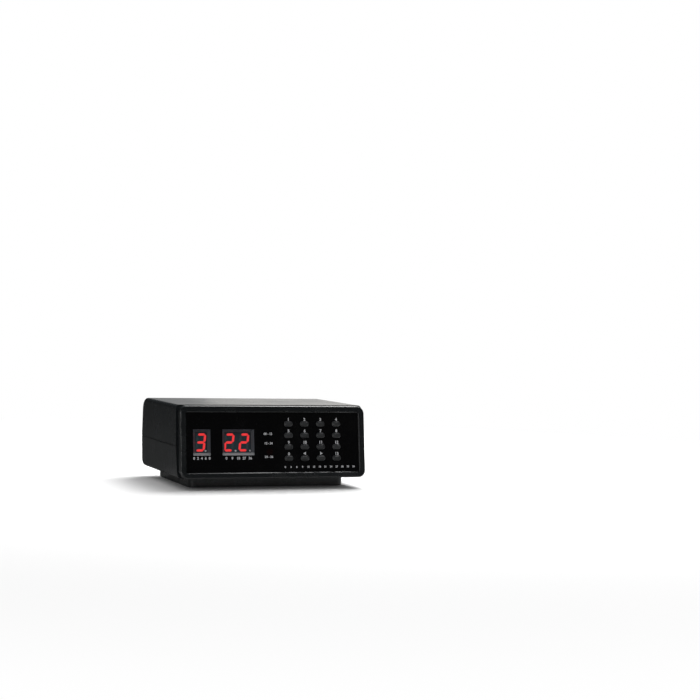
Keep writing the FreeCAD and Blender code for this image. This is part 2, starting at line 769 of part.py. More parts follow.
def pushKey(index, middle, height):
    name = "Key%02d" % index
    owner = body(name)
    flangeFace = panelBack + s.flangeGap
    keyFace = s.bezelLip - s.keyProud
    cap = sketchOn(owner, name + "Cap", "XZ_Plane", -flangeFace)
    roundedRectangle(cap, middle, height - s.keyHeight / 2, s.keyLength, s.keyHeight, s.keyCorner)
    top = pad(owner, name + "CapPad", cap, flangeFace - keyFace)
    bevelled(owner, name + "Dome", top, s.keyDome, lambda edge: near(edge.BoundBox.YMax, keyFace))
    flange = sketchOn(owner, name + "Flange", "XZ_Plane", -flangeFace)
    rectangle(flange, middle, height - s.keyHeight / 2 - s.flangeLip, s.keyLength + 2 * s.flangeLip,
              s.keyHeight + 2 * s.flangeLip)
    pad(owner, name + "FlangePad", flange, s.flangeThickness, inward=True)
    stem = sketchOn(owner, name + "Stem", "XZ_Plane", -flangeFace)
    rectangle(stem, middle, height - s.stemRadius, 2 * s.stemRadius, 2 * s.stemRadius)
    pad(owner, name + "StemPad", stem, stemTip - flangeFace, inward=True)
    return keep(owner, "key_%02d" % index, onFront=True)


# What stands on the front board; its blocks use the front's own frame
def display(label, middle, windowWidth):
    width = windowWidth - s.displayMargin
    height = s.windowHeight - s.displayMargin
    low = s.windowBottom + s.displayMargin / 2
    case = block(label + "Case", middle, displayFace, low, width, frontBoardFace - displayFace, height)
    soft = softened(label + "Soft", case, s.displayEdge, lambda edge: near(edge.BoundBox.YMax, displayFace),
                    "Part::Chamfer")
    return keep(soft, label, onFront=True)


def frontBoard():
    board = block("FrontBoardPlate", 0, frontBoardFace, s.frontBoardBottom, frontBoardWidth, s.boardThickness,
                  frontBoardHeight)
    holes = [rod("FrontBoardHole%d" % i, x, frontBoardFace - 1, z, s.smallScrewRadius + s.screwWayPlay,
                 s.boardThickness + 2, "y") for i, (x, z) in enumerate(frontPostPlaces)]
    return keep(carved("FrontBoardCut", board, holes), "front_board", onFront=True)


def tactSwitches():
    housings = []
    wells = []
    domes = []
    domeFace = frontBoardFace - s.switchFloor - s.domeHeight
    for row, height in enumerate(keyRows):
        for column, middle in enumerate(keyColumns):
            mark = "%d%d" % (row, column)
            housings.append(block("Switch" + mark, middle, switchFace, height - s.switchSide / 2, s.switchSide,
                                  s.switchHeight, s.switchSide))
            wells.append(block("SwitchWell" + mark, middle, switchFace - 1, height - s.switchWell / 2, s.switchWell,
                               s.switchHeight - s.switchFloor + 1, s.switchWell))
            domes.append(block("SwitchDome" + mark, middle, domeFace, height - s.domeSide / 2, s.domeSide,
                               s.domeHeight, s.domeSide))
    keep(carved("SwitchHousings", grouped("SwitchBlocks", housings), wells), "switch_housings", onFront=True)
    keep(grouped("SwitchDomes", domes), "switch_domes", onFront=True)


def screw(name, first, second, headPlace, radius, headRadius, headHeight, length, way):
    # the head stands on headPlace and the shank runs on from it
    if way == "inward":
        shank = rod(name + "Shank", first, headPlace - length, second, radius, length, "y")
        head = rod(name + "Head", first, headPlace, second, headRadius, headHeight, "y")
    elif way == "up":
        shank = rod(name + "Shank", first, second, headPlace, radius, length)
        head = rod(name + "Head", first, second, headPlace - headHeight, headRadius, headHeight)
    else:
        shank = rod(name + "Shank", first, second, headPlace - length, radius, length)
        head = rod(name + "Head", first, second, headPlace, headRadius, headHeight)
    return joined(name, [shank, head])


def smallScrews(label, places, headPlace, way, onFront=False):
    pieces = [screw("%s%d" % (label, i), first, second, headPlace, s.smallScrewRadius, s.smallHeadRadius,
                    s.smallHeadHeight, s.boardThickness + s.smallScrewGrip, way)
              for i, (first, second) in enumerate(places)]
    return keep(grouped(label + "Group", pieces), label, onFront=onFront)


def caseScrews():
    length = s.partingHeight - headSeat + s.screwGrip
    pieces = [screw("CaseScrew%d" % i, x, y, headSeat, s.screwRadius, s.headRadius, s.headHeight, length, "up")
              for i, (x, y) in enumerate(screwPlaces)]
    return keep(grouped("CaseScrewGroup", pieces), "case_screws")


def sensor():
    rimFace = panelBack + s.lensSeat
    lens = rod("LensRod", sensorMiddle, s.bezelLip, s.sensorHeight, s.sensorRadius, s.panelThickness + s.lensSeat, "y")
    rim = rod("LensRim", sensorMiddle, rimFace, s.sensorHeight, s.sensorRadius + s.lensFlange,
              s.lensFlangeThickness, "y")
    keep(joined("SensorLens", [lens, rim]), "sensor_lens", onFront=True)
    case = block("ReceiverCase", sensorMiddle, frontBoardFace - s.receiverDepth, s.sensorHeight - s.receiverHeight / 2,
                 s.receiverWidth, s.receiverDepth, s.receiverHeight)
    soft = softened("ReceiverSoft", case, s.displayEdge,
                    lambda edge: near(edge.BoundBox.YMax, frontBoardFace - s.receiverDepth), "Part::Chamfer")
    keep(soft, "ir_receiver", onFront=True)


# What stands on the main board
def mainBoard():
    board = block("MainBoardPlate", 0, mainBoardFront, s.mainBoardHeight, mainBoardWidth, mainBoardDepth,
                  s.boardThickness)
    holes = [rod("MainBoardHole%d" % i, x, y, s.mainBoardHeight - 1, s.smallScrewRadius + s.screwWayPlay,
                 s.boardThickness + 2) for i, (x, y) in enumerate(postPlaces)]
    return keep(carved("MainBoardCut", board, holes), "main_board")


def transformer():
    front = coreY - coreStack / 2
    window = (s.coreWidth - 4 * s.coreLeg) / 2
    plate = block("CorePlate", coreX, front, mainBoardTop, s.coreWidth, coreStack, s.coreHeight)
    openings = [block("CoreWindow%d" % i, coreX + side * (s.coreLeg + window / 2), front - 1,
                      mainBoardTop + s.coreLeg, window, coreStack + 2, s.coreHeight - 2 * s.coreLeg)
                for i, side in enumerate((-1, 1))]
    keep(carved("CoreCut", plate, openings), "transformer_core")
    coilWidth = s.coreWidth - 2 * s.coreLeg - 2 * s.coilGap
    bobbinHeight = s.coreHeight - 2 * s.coreLeg - 2 * s.coilGap
    coilDepth = coreStack + 2 * coilOverhang
    low = mainBoardTop + s.coreLeg + s.coilGap
    tubeWidth = 2 * s.coreLeg + 2 * s.coilGap
    tubeDepth = coreStack + 2 * s.coilGap
    way = block("BobbinWay", coreX, coreY - tubeDepth / 2, low - 1, tubeWidth, tubeDepth, bobbinHeight + 2)
    outerWidth = tubeWidth + 2 * s.bobbinWall
    outerDepth = tubeDepth + 2 * s.bobbinWall
    sleeve = block("BobbinSleeve", coreX, coreY - outerDepth / 2, low, outerWidth, outerDepth, bobbinHeight)
    cheeks = [block("BobbinCheek%d" % i, coreX, coreY - coilDepth / 2 - s.bobbinWall, z, coilWidth,
                    coilDepth + 2 * s.bobbinWall, s.bobbinWall)
              for i, z in enumerate((low, low + bobbinHeight - s.bobbinWall))]
    keep(carved("BobbinCut", joined("BobbinBlank", [sleeve] + cheeks), [way]), "transformer_bobbin")
    coil = block("CoilBlock", coreX, coreY - coilDepth / 2, low + s.bobbinWall, coilWidth, coilDepth,
                 bobbinHeight - 2 * s.bobbinWall)
    soft = softened("CoilSoft", coil, s.coilRound, lambda edge: liesAlong(edge, "z"))
    core = block("CoilWay", coreX, coreY - outerDepth / 2, low, outerWidth, outerDepth, bobbinHeight)
    keep(carved("CoilCut", soft, [core]), "transformer_winding")


def can(name, x, y, radius, height):
    return bevelledTop(name + "Top", rod(name, x, y, mainBoardTop, radius, height), s.canEdge, mainBoardTop + height)


def capacitors():
    filterX = -mainBoardWidth / 2 + s.filterInset
    motorX = (filterX + s.filterCapacitorRadius + coreX - s.coreWidth / 2) / 2
    keep(can("MotorCan", motorX, coreY, motorCapacitorRadius, s.motorCapacitorHeight), "motor_capacitor")
    filterY = mainBoardRear - s.filterRearInset
    pair = [can("FilterLarge", filterX, filterY, s.filterCapacitorRadius, s.filterCapacitorHeight),
            can("FilterSmall", filterX, filterY - s.filterSpacing, s.smallFilterRadius, s.smallFilterHeight)]
    keep(grouped("FilterCapacitors", pair), "filter_capacitors")


def relays():
    step = s.relayWidth + s.relayGap
    pair = []
    for i in range(2):
        relay = block("Relay%d" % i, ribbonX - s.ribbonWidth - (2 - i) * step, mainBoardFront + s.relayInset,
                      mainBoardTop, s.relayWidth, relayDepth, s.relayHeight)
        pair.append(bevelledTop("RelaySoft%d" % i, relay, s.relayEdge, mainBoardTop + s.relayHeight))
    keep(grouped("Relays", pair), "relays")


def regulator():
    sinkWidth = s.finPitch * (s.finCount - 1) + s.finThickness
    sinkX = -mainBoardWidth / 2 + s.sinkInset
    plateY = mainBoardRear - s.sinkRearInset
    plate = block("SinkPlate", sinkX, plateY, mainBoardTop, sinkWidth, s.sinkPlate, s.sinkHeight)
    firstFin = sinkX - s.finPitch * (s.finCount - 1) / 2
    fins = [block("SinkFin%d" % i, firstFin + i * s.finPitch, plateY + s.sinkPlate / 2, mainBoardTop,
                  s.finThickness, s.finDepth, s.sinkHeight) for i in range(int(number(s.finCount)))]
    keep(joined("HeatSink", [plate] + fins), "heat_sink")
    base = mainBoardTop + s.regulatorRaise
    tab = block("RegulatorTab", sinkX, plateY - s.tabThickness, base, s.tabWidth, s.tabThickness, s.tabHeight)
    chip = block("RegulatorChip", sinkX, plateY - s.tabThickness - s.regulatorThickness, base, s.tabWidth,
                 s.regulatorThickness, s.regulatorHeight)
    legs = [block("RegulatorLeg%d" % i, sinkX + (i - 1) * s.legPitch, plateY - s.tabThickness - s.legThickness,
                  mainBoardTop, s.legThickness, s.legThickness, s.regulatorRaise + s.legThickness) for i in range(3)]
    keep(joined("Regulator", [tab, chip] + legs), "regulator")


def fuse():
    y = mainBoardRear - s.boardPostMargin
    left = coreX - s.coreWidth / 2 + 2
    height = mainBoardTop + s.fuseRaise
    keep(rod("Fuse", left, y, height, s.fuseRadius, s.fuseLength, "x"), "fuse")
    clips = []
    for i, x in enumerate((left + s.clipInset, left + s.fuseLength - s.clipInset - s.clipLength)):
        middle = x + s.clipLength / 2
        jaw = block("ClipJaw%d" % i, middle, y - s.clipWidth / 2, mainBoardTop, s.clipLength, s.clipWidth, s.clipHeight)
        way = rod("ClipWay%d" % i, x - 1, y, height, s.fuseRadius + s.screwPlay, s.clipLength + 2, "x")
        mouth = block("ClipMouth%d" % i, middle, y - s.clipMouth / 2, height, s.clipLength + 2, s.clipMouth,
                      s.clipHeight)
        clips.append(carved("Clip%d" % i, jaw, [way, mouth]))
    keep(grouped("FuseClips", clips), "fuse_clips")


def chips():
    middle = coreX - s.chipLength / 2
    front = mainBoardFront + mainBoardDepth * s.chipShare - s.chipWidth / 2
    lid = block("ControllerChip", middle, front, mainBoardTop + s.chipRaise, s.chipLength, s.chipWidth, s.chipHeight)
    pins = []
    for side, y in enumerate((front - s.legThickness / 2, front + s.chipWidth - s.legThickness / 2)):
        for i in range(int(number(s.pinPairs))):
            x = middle + (i - (s.pinPairs - 1) / 2) * s.legPitch
            pins.append(block("ControllerPin%d%d" % (side, i), x, y, mainBoardTop, s.legThickness, s.legThickness,
                              s.chipRaise + s.chipHeight / 2))
    keep(joined("Controller", [lid] + pins), "controller_chip")
    crystal = block("Crystal", middle + s.chipLength / 2 + s.partGap + s.crystalLength / 2, front, mainBoardTop,
                    s.crystalLength, s.crystalWidth, s.crystalHeight)
    keep(softened("CrystalSoft", crystal, s.crystalRound, lambda edge: liesAlong(edge, "z")), "crystal")


# Screw terminals that the mains lead's cores go to
def mainsTerminal():
    y = mainBoardRear - s.mainsRearInset
    middle = glandX - s.partGap
    base = block("MainsBlock", middle, y, mainBoardTop, s.mainsWidth, s.mainsDepth, s.mainsHeight)
    tools = []
    for i, side in enumerate((-0.5, 0.5)):
        x = middle + side * s.mainsPitch
        tools.append(block("MainsWell%d" % i, x, y + 1, mainBoardTop + s.mainsHeight / 2, s.mainsWell, s.mainsWell,
                           s.mainsHeight))
        tools.append(block("MainsMouth%d" % i, x, y + s.mainsDepth / 2 + 1, mainBoardTop + 1, s.mainsWell,
                           s.mainsDepth, s.mainsWell / 2 + 1))
    keep(carved("MainsCut", base, tools), "mains_terminal")


# Back of the box
def terminals():
    face = rearY + s.terminalProud
    inner = face - s.terminalDepth
    height = s.terminalHeight - s.terminalPlay
    housing = block("TerminalBlank", terminalX, inner, terminalBottom, s.terminalWidth, s.terminalDepth, height)
    pinY = face - s.pinInset
    pinZ = terminalBottom + s.pinRaise
    socketHeight = s.pinRaise - s.barrelRadius - s.leverPlay
    pinLeft = terminalX - s.terminalWidth / 2 + s.terminalWall
    tools = [rod("PinWay", pinLeft, pinY, pinZ, s.pinRadius + s.screwPlay, s.terminalWidth, "x"),
             block("SocketRoom", terminalX, inner - 1, terminalBottom - 1, 3 * s.leverPitch, s.terminalDepth + 2,
                   socketHeight + 1)]
    leverTop = s.partingHeight - s.leverDrop
    sockets = []
    for i in range(3):
        x = terminalX + (i - 1) * s.leverPitch
        left = x - s.leverWidth / 2
        tools.append(block("LeverSlot%d" % i, x, face - s.leverSlotDepth, terminalBottom + socketHeight,
                           s.leverWidth + 2 * s.leverPlay, s.leverSlotDepth + 1, s.terminalHeight))
        socket = block("Socket%d" % i, x, inner, terminalBottom, s.leverPitch, s.terminalDepth, socketHeight)
        way = rod("WireHole%d" % i, x, face - s.wireHoleLength, terminalBottom + socketHeight / 2,
                  s.wireHoleRadius, s.wireHoleLength + 1, "y")
        sockets.append(carved("SocketCut%d" % i, socket, [way]))
        barrel = rod("LeverBarrel%d" % i, left, pinY, pinZ, s.barrelRadius, s.leverWidth, "x")
        tab = block("LeverTab%d" % i, x, pinY, pinZ, s.leverWidth, s.barrelRadius, leverTop - pinZ)
        nib = block("LeverNib%d" % i, x, pinY, leverTop - s.leverNib, s.leverWidth, s.leverNibReach, s.leverNib)
        bore = rod("LeverBore%d" % i, left - 1, pinY, pinZ, s.pinRadius + s.pinPlay, s.leverWidth + 2, "x")
        keep(carved("Lever%d" % i, joined("LeverBlank%d" % i, [barrel, tab, nib]), [bore]),
             "wire_lever_%02d" % (i + 1))
    keep(carved("TerminalCut", housing, tools), "terminal_block")
    keep(grouped("Sockets", sockets), "wire_sockets")
    keep(rod("LeverPin", pinLeft, pinY, pinZ, s.pinRadius, s.terminalWidth - s.terminalWall, "x"), "lever_pin")
    strips = []
    for i in range(3):
        x = terminalX + (i - 1) * s.leverPitch
        legY = mainBoardRear - s.stripInset
        z = terminalBottom + s.stripRaise
        flat = block("StripFlat%d" % i, x, legY, z, s.stripWidth, inner - legY, s.stripThickness)
        leg = block("StripLeg%d" % i, x, legY, mainBoardTop, s.stripWidth, s.stripThickness,
                    z - mainBoardTop + s.stripThickness)
        strips.append(joined("Strip%d" % i, [flat, leg]))
    keep(grouped("Strips", strips), "terminal_strips")


def gland():
    sleeve = rod("GlandSleeve", glandX, rearY - s.glandReach, glandHeight, s.glandRadius, s.glandReach + s.glandProud,
                 "y")
    flange = rod("GlandFlange", glandX, rearY + s.glandSeat, glandHeight, s.glandFlange, s.glandFlangeThickness, "y")
    latch = rod("GlandLatch", glandX, rearY - s.wall - s.glandSeat - s.glandFlangeThickness, glandHeight, s.glandLatch,
                s.glandFlangeThickness, "y")
    way = rod("GlandWay", glandX, rearY - s.glandReach - 1, glandHeight, s.glandBore,
              s.glandReach + s.glandProud + 2, "y")
    keep(carved("GlandCut", joined("GlandBlank", [sleeve, flange, latch]), [way]), "cord_gland")


def feet():
    pads = []
    for i, (x, y) in enumerate(footPlaces):
        disc = rod("Foot%d" % i, x, y, 0, s.footRadius, s.footHeight)
        pads.append(softened("FootSoft%d" % i, disc, s.footEdge, lambda edge: near(edge.BoundBox.ZMax, 0),
                             "Part::Chamfer"))
    keep(grouped("Feet", pads), "rubber_feet")


# Flat cable from the main board's header over to the front board's
def ribbon():
    headerY = mainBoardFront + s.headerMargin
    width = s.ribbonWidth + 2 * s.headerMargin
    keep(block("MainHeader", ribbonX, headerY, mainBoardTop, width, s.headerDepth, s.headerHeight), "main_header")
    low = s.frontBoardBottom + s.frontHeaderRaise
    plug = block("FrontHeader", ribbonX, frontBoardBack, low, width, s.headerDepth, s.headerHeight)
    far = frontBoardBack + s.headerDepth
    keep(softened("FrontHeaderSoft", plug, s.displayEdge, lambda edge: near(edge.BoundBox.YMin, far),
                  "Part::Chamfer"), "front_header", onFront=True)
    nearY = headerY + s.headerDepth / 2
    nearZ = mainBoardTop + s.headerHeight + s.ribbonGap
    depth = frontBoardBack + s.headerDepth / 2
    top = low + s.headerHeight
    farY = frontY + top * sine(s.lean) + depth * cosine(s.lean)
    farZ = s.caseBottom + top * cosine(s.lean) - depth * sine(s.lean) + s.ribbonGap
    arch = mainBoardTop + s.ribbonArch
    half = s.ribbonThickness / 2
    owner = body("Ribbon")
    sketch = sketchOn(owner, "RibbonSketch", "YZ_Plane", ribbonX)
    lines = [((farY + half, farZ), (farY + half, arch)), ((nearY - half, arch), (nearY - half, nearZ)),
             ((nearY - half, nearZ), (nearY + half, nearZ)), ((nearY + half, nearZ), (nearY + half, arch)),
             ((farY - half, arch), (farY - half, farZ)), ((farY - half, farZ), (farY + half, farZ))]
    for start, end in lines:
        sketch.addGeometry(Part.LineSegment(Vector(start[0].value, start[1].value, 0),
                                            Vector(end[0].value, end[1].value, 0)))
    middle = (farY + nearY) / 2
    for radius in ((nearY - farY) / 2 - half, (nearY - farY) / 2 + half):
        circle = Part.Circle(Vector(middle.value, arch.value, 0), Vector(0, 0, 1), radius.value)
        sketch.addGeometry(Part.ArcOfCircle(circle, 0, math.pi))
    for i in (0, 1, 3, 4):
        fixPoint(sketch, i, 1, lines[i][0][0], lines[i][0][1])
        fixPoint(sketch, i, 2, lines[i][1][0], lines[i][1][1])
    innerBend = 6
    outerBend = 7
    for first, firstEnd, second, secondEnd in ((0, 2, innerBend, 2), (1, 1, innerBend, 1), (1, 2, 2, 1), (2, 2, 3, 1),
                                               (3, 2, outerBend, 1), (4, 1, outerBend, 2), (4, 2, 5, 1), (5, 2, 0, 1)):
        sketch.addConstraint(Sketcher.Constraint("Coincident", first, firstEnd, second, secondEnd))
    for bend in (innerBend, outerBend):
        index = sketch.addConstraint(Sketcher.Constraint("DistanceY", -1, 1, bend, 3, arch.value))
        sketch.setExpression("Constraints[%d]" % index, arch.text)
    pad(owner, "RibbonPad", sketch, s.ribbonWidth, symmetric=True)
    keep(owner, "ribbon_cable")


upperCover()
lowerCase()
frontBezel()
frontPanel()
for row, height in enumerate(keyRows):
    for column, middle in enumerate(keyColumns):
        pushKey(row * 4 + column + 1, middle, height)
display("memory_display", memoryMiddle, s.memoryWindowWidth)
display("heading_display", headingMiddle, s.headingWindowWidth)
frontBoard()
tactSwitches()
sensor()
smallScrews("front_board_screws", frontPostPlaces, frontBoardBack, "inward", onFront=True)
mainBoard()
transformer()
capacitors()
relays()
regulator()
fuse()
chips()
mainsTerminal()
smallScrews("board_screws", postPlaces, mainBoardTop, "down")
caseScrews()
terminals()
gland()
feet()
ribbon()
doc.recompute()

# Nothing is written unless every object is sound
for item in doc.Objects:
    if "Invalid" in item.State or "Error" in item.State:
        raise RuntimeError("%s (%s) did not build: %s" % (item.Name, item.Label, item.State))
for item in nodes:
    if item.Shape.isNull() or not item.Shape.isValid():
        raise RuntimeError("%s has no sound shape" % item.Label)

os.makedirs("parts", exist_ok=True)
for item in nodes:
    item.Shape.exportStep("parts/%s.step" % item.Label)
    print("%-22s %2d solids %9.1f mm3" % (item.Label, len(item.Shape.Solids), item.Shape.Volume))
print("%d nodes" % len(nodes))
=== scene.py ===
import json
import math
import bpy
from mathutils import Matrix, Vector


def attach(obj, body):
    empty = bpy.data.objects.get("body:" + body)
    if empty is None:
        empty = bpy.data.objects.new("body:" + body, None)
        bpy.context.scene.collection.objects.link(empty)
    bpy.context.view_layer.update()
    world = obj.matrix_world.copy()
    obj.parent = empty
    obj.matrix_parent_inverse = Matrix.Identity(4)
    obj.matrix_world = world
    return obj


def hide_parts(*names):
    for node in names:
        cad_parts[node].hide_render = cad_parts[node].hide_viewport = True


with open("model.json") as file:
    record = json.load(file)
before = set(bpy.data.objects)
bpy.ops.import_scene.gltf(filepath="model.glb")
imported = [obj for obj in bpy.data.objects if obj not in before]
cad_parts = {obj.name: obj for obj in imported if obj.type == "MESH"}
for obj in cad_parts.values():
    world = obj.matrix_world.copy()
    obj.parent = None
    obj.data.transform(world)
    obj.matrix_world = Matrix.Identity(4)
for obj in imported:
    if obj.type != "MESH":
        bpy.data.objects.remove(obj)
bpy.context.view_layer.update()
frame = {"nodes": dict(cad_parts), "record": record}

nodes = frame["nodes"]
mm = 0.001
facing = 0.9   # how squarely a face has to look along z to be picked


# small helpers for the viewport's own operators
def deselect():
    if bpy.context.object and bpy.context.object.mode != "OBJECT":
        bpy.ops.object.mode_set(mode="OBJECT")
    bpy.ops.object.select_all(action="DESELECT")


def only(piece):
    deselect()
    piece.select_set(True)
    bpy.context.view_layer.objects.active = piece


def applyModifier(piece, kind, **settings):
    only(piece)
    modifier = piece.modifiers.new(kind.title(), kind)
    for key, value in settings.items():
        setattr(modifier, key, value)
    bpy.ops.object.modifier_apply(modifier=modifier.name)


def pickFaces(piece, wanted):   # edit mode, with just the wanted faces selected
    only(piece)
    bpy.ops.object.mode_set(mode="EDIT")
    bpy.ops.mesh.select_mode(type="FACE")
    bpy.ops.mesh.select_all(action="DESELECT")
    bpy.ops.object.mode_set(mode="OBJECT")
    for face in piece.data.polygons:
        face.select = wanted(face)
    bpy.ops.object.mode_set(mode="EDIT")


def extrudeUp(height):   # what is selected in edit mode, by millimetres
    bpy.ops.mesh.extrude_region_move(TRANSFORM_OT_translate={"value": (0, 0, height * mm)})


def thicken(height):   # a flat mesh in edit mode, with its faces turned outward after
    bpy.ops.mesh.select_all(action="SELECT")
    extrudeUp(height)
    bpy.ops.mesh.select_all(action="SELECT")
    bpy.ops.mesh.normals_make_consistent(inside=False)
    bpy.ops.object.mode_set(mode="OBJECT")


def sheet(width, height):   # a flat rectangle about the origin
    deselect()
    bpy.ops.mesh.primitive_plane_add(size=1)
    piece = bpy.context.object
    piece.scale = (width, height, 1)
    bpy.ops.object.transform_apply(location=True, rotation=True, scale=True)
    return piece


def copyOf(piece, name):
    twin = piece.copy()
    twin.data = piece.data.copy()
    twin.name = name
    bpy.context.scene.collection.objects.link(twin)
    return twin


def joinAll(pieces, name):
    deselect()
    for piece in pieces:
        piece.select_set(True)
    bpy.context.view_layer.objects.active = pieces[0]
    if len(pieces) > 1:
        bpy.ops.object.join()
    pieces[0].name = name
    return pieces[0]


def dress(piece, material, body="housing"):
    piece.data.materials.clear()
    piece.data.materials.append(material)
    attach(piece, body)
    return piece


# the planes that printed marks lie on; x across, y up, z out of the object
lean = math.radians(8)
front = {"floor": 9.0, "edge": -62.0, "panelFace": 1.2, "displayFace": 4.2}


def laid(rows, x, y, z):   # a turn given by its rows, then a place in millimetres
    return Matrix.Translation(Vector((x, y, z)) * mm) @ Matrix(rows).to_4x4()


def onFront(across, up, depth):   # on the leaning front, depth measured inward
    sine, cosine = math.sin(lean), math.cos(lean)
    y = front["edge"] + up * sine + depth * cosine
    z = front["floor"] + up * cosine - depth * sine
    return laid(((1, 0, 0), (0, sine, -cosine), (0, cosine, sine)), across, y, z)


def onBack(across, height, y):
    return laid(((-1, 0, 0), (0, 0, 1), (0, 1, 0)), across, y, height)


def underneath(across, y, height):
    return laid(((1, 0, 0), (0, -1, 0), (0, 0, -1)), across, y, height)


# shader maths written as sums
class Wire:
    def __init__(self, graph, socket):
        self.graph = graph
        self.socket = socket

    def math(self, operation, first, second=0.0):
        made = self.graph.node("ShaderNodeMath", {"operation": operation}, {0: first, 1: second})
        return Wire(self.graph, made.outputs[0])

    def __add__(self, other):
        return self.math("ADD", self, other)

    def __radd__(self, other):
        return self.math("ADD", other, self)

    def __sub__(self, other):
        return self.math("SUBTRACT", self, other)

    def __rsub__(self, other):
        return self.math("SUBTRACT", other, self)

    def __mul__(self, other):
        return self.math("MULTIPLY", self, other)

    def __rmul__(self, other):
        return self.math("MULTIPLY", other, self)

    def __gt__(self, other):
        return self.math("GREATER_THAN", self, other)

    def __lt__(self, other):
        return self.math("LESS_THAN", self, other)

    def __abs__(self):
        return self.math("ABSOLUTE", self)

    def clamped(self):
        made = self.graph.node("ShaderNodeClamp", {}, {"Value": self})
        return Wire(self.graph, made.outputs[0])

    def between(self, low, high):   # 0 below low, 1 above high, smooth between
        made = self.graph.node("ShaderNodeMapRange", {"interpolation_type": "SMOOTHSTEP"},
                               {"Value": self, "From Min": low, "From Max": high})
        return Wire(self.graph, made.outputs[0])


class Graph:
    def __init__(self, tree):
        self.tree = tree
        tree.nodes.clear()
        self.place = None

    def node(self, kind, settings=None, values=None):
        made = self.tree.nodes.new(kind)
        for key, value in (settings or {}).items():
            setattr(made, key, value)
        for key, value in (values or {}).items():
            if isinstance(value, Wire):
                self.tree.links.new(value.socket, made.inputs[key])
            else:
                made.inputs[key].default_value = value
        return made

    def coordinates(self):
        if self.place is None:
            self.place = Wire(self, self.node("ShaderNodeTexCoord").outputs["Object"])
        return self.place

    def axes(self):
        made = self.node("ShaderNodeSeparateXYZ", {}, {0: self.coordinates()})
        return [Wire(self, made.outputs[i]) for i in range(3)]

    def noise(self, scale, detail=3.0, roughness=0.55, stretch=None):
        place = self.coordinates()
        if stretch:
            made = self.node("ShaderNodeMapping", {}, {"Vector": place, "Scale": stretch})
            place = Wire(self, made.outputs[0])
        made = self.node("ShaderNodeTexNoise", {}, {"Vector": place, "Scale": scale,
                                                     "Detail": detail, "Roughness": roughness})
        return Wire(self, made.outputs[0])

    def spots(self, scale):   # distance to the nearest of scattered points
        made = self.node("ShaderNodeTexVoronoi", {}, {"Vector": self.coordinates(), "Scale": scale})
        return Wire(self, made.outputs["Distance"])

    def wave(self, across, pitch):   # 0 to 1 stripes with a pitch in metres
        turns = across * (2 * math.pi / pitch)
        made = self.node("ShaderNodeMath", {"operation": "SINE"}, {0: turns})
        return Wire(self, made.outputs[0]) * 0.5 + 0.5

    def blend(self, factor, first, second):   # between two colours
        made = self.node("ShaderNodeMix", {"data_type": "RGBA"}, {0: factor, 6: first, 7: second})
        return Wire(self, made.outputs[2])

    def bump(self, height, depth, strength=1.0):   # depth in metres
        made = self.node("ShaderNodeBump", {}, {"Height": height, "Distance": depth,
                                                "Strength": strength})
        return Wire(self, made.outputs[0])

    def rays(self, kind):   # 1 for rays of one kind
        return Wire(self, self.node("ShaderNodeLightPath").outputs[kind])

    def finish(self, values):
        shader = self.node("ShaderNodeBsdfPrincipled", {}, values)
        output = self.node("ShaderNodeOutputMaterial")
        self.tree.links.new(shader.outputs[0], output.inputs[0])


finishes = {}   # by the name asked for, since Blender may number a material's own name


def newMaterial(name):
    material = bpy.data.materials.new(name)
    material.use_nodes = True
    finishes[name] = material
    return Graph(material.node_tree)


def rgb(colour, gain=1.0):
    return tuple(min(1.0, channel * gain) for channel in colour) + (1.0,)


# moulded parts: grain, handling marks, dust and rubbed edges
mouldedLooks = {
    "housingBlack": {"colour": (0.0115, 0.0142, 0.016), "rough": (0.27, 0.32), "grain": 2600,
                     "grainDepth": 3e-6, "dust": 0.02, "specular": 0.3, "rubbed": True},
    "bezelBlack": {"colour": (0.0122, 0.0142, 0.0156), "rough": (0.2, 0.3), "grain": 3200,
                   "grainDepth": 3e-6, "dust": 0.015, "specular": 0.55, "rubbed": False},
    "keyBlack": {"colour": (0.034, 0.036, 0.038), "rough": (0.34, 0.44), "grain": 5200,
                 "grainDepth": 4e-6, "dust": 0.015, "specular": 0.5, "rubbed": False},
    "terminalBlack": {"colour": (0.014, 0.014, 0.014), "rough": (0.36, 0.5), "grain": 3000,
                      "grainDepth": 8e-6, "dust": 0.05, "specular": 0.45, "rubbed": False},
    "leverGrey": {"colour": (0.2, 0.2, 0.195), "rough": (0.38, 0.5), "grain": 3600,
                  "grainDepth": 8e-6, "dust": 0.04, "specular": 0.5, "rubbed": False},
    "componentBlack": {"colour": (0.02, 0.02, 0.021), "rough": (0.45, 0.62), "grain": 4200,
                       "grainDepth": 1.2e-5, "dust": 0.05, "specular": 0.4, "rubbed": False},
    "bobbinWhite": {"colour": (0.66, 0.63, 0.54), "rough": (0.38, 0.5), "grain": 2400,
                    "grainDepth": 8e-6, "dust": 0.05, "specular": 0.5, "rubbed": False},
    "relayBlue": {"colour": (0.02, 0.09, 0.28), "rough": (0.32, 0.45), "grain": 2800,
                  "grainDepth": 7e-6, "dust": 0.04, "specular": 0.5, "rubbed": False},
    "ribbonGrey": {"colour": (0.34, 0.34, 0.34), "rough": (0.4, 0.52), "grain": 3000,
                   "grainDepth": 6e-6, "dust": 0.04, "specular": 0.4, "rubbed": False},
}
moulding = {"marks": 38, "markRange": (0.35, 0.7), "blotches": 140, "tones": (0.9, 1.1),
            "specks": 900, "speckSize": 0.09, "dustPatches": 60, "dustRange": (0.45, 0.65),
            "dustGain": 6, "markDust": 0.25, "dustColour": (0.32, 0.31, 0.29, 1),
            "grainRough": 0.08, "dustRough": 0.2, "blotchHeight": 0.35}
rubbing = {"side": 0.0755, "top": 0.0639, "rear": 0.056, "reach": 0.003, "topReach": 0.0022,
           "patches": 420, "patchRange": (0.4, 0.62), "share": 0.5, "gain": 3.2, "shine": 0.1}


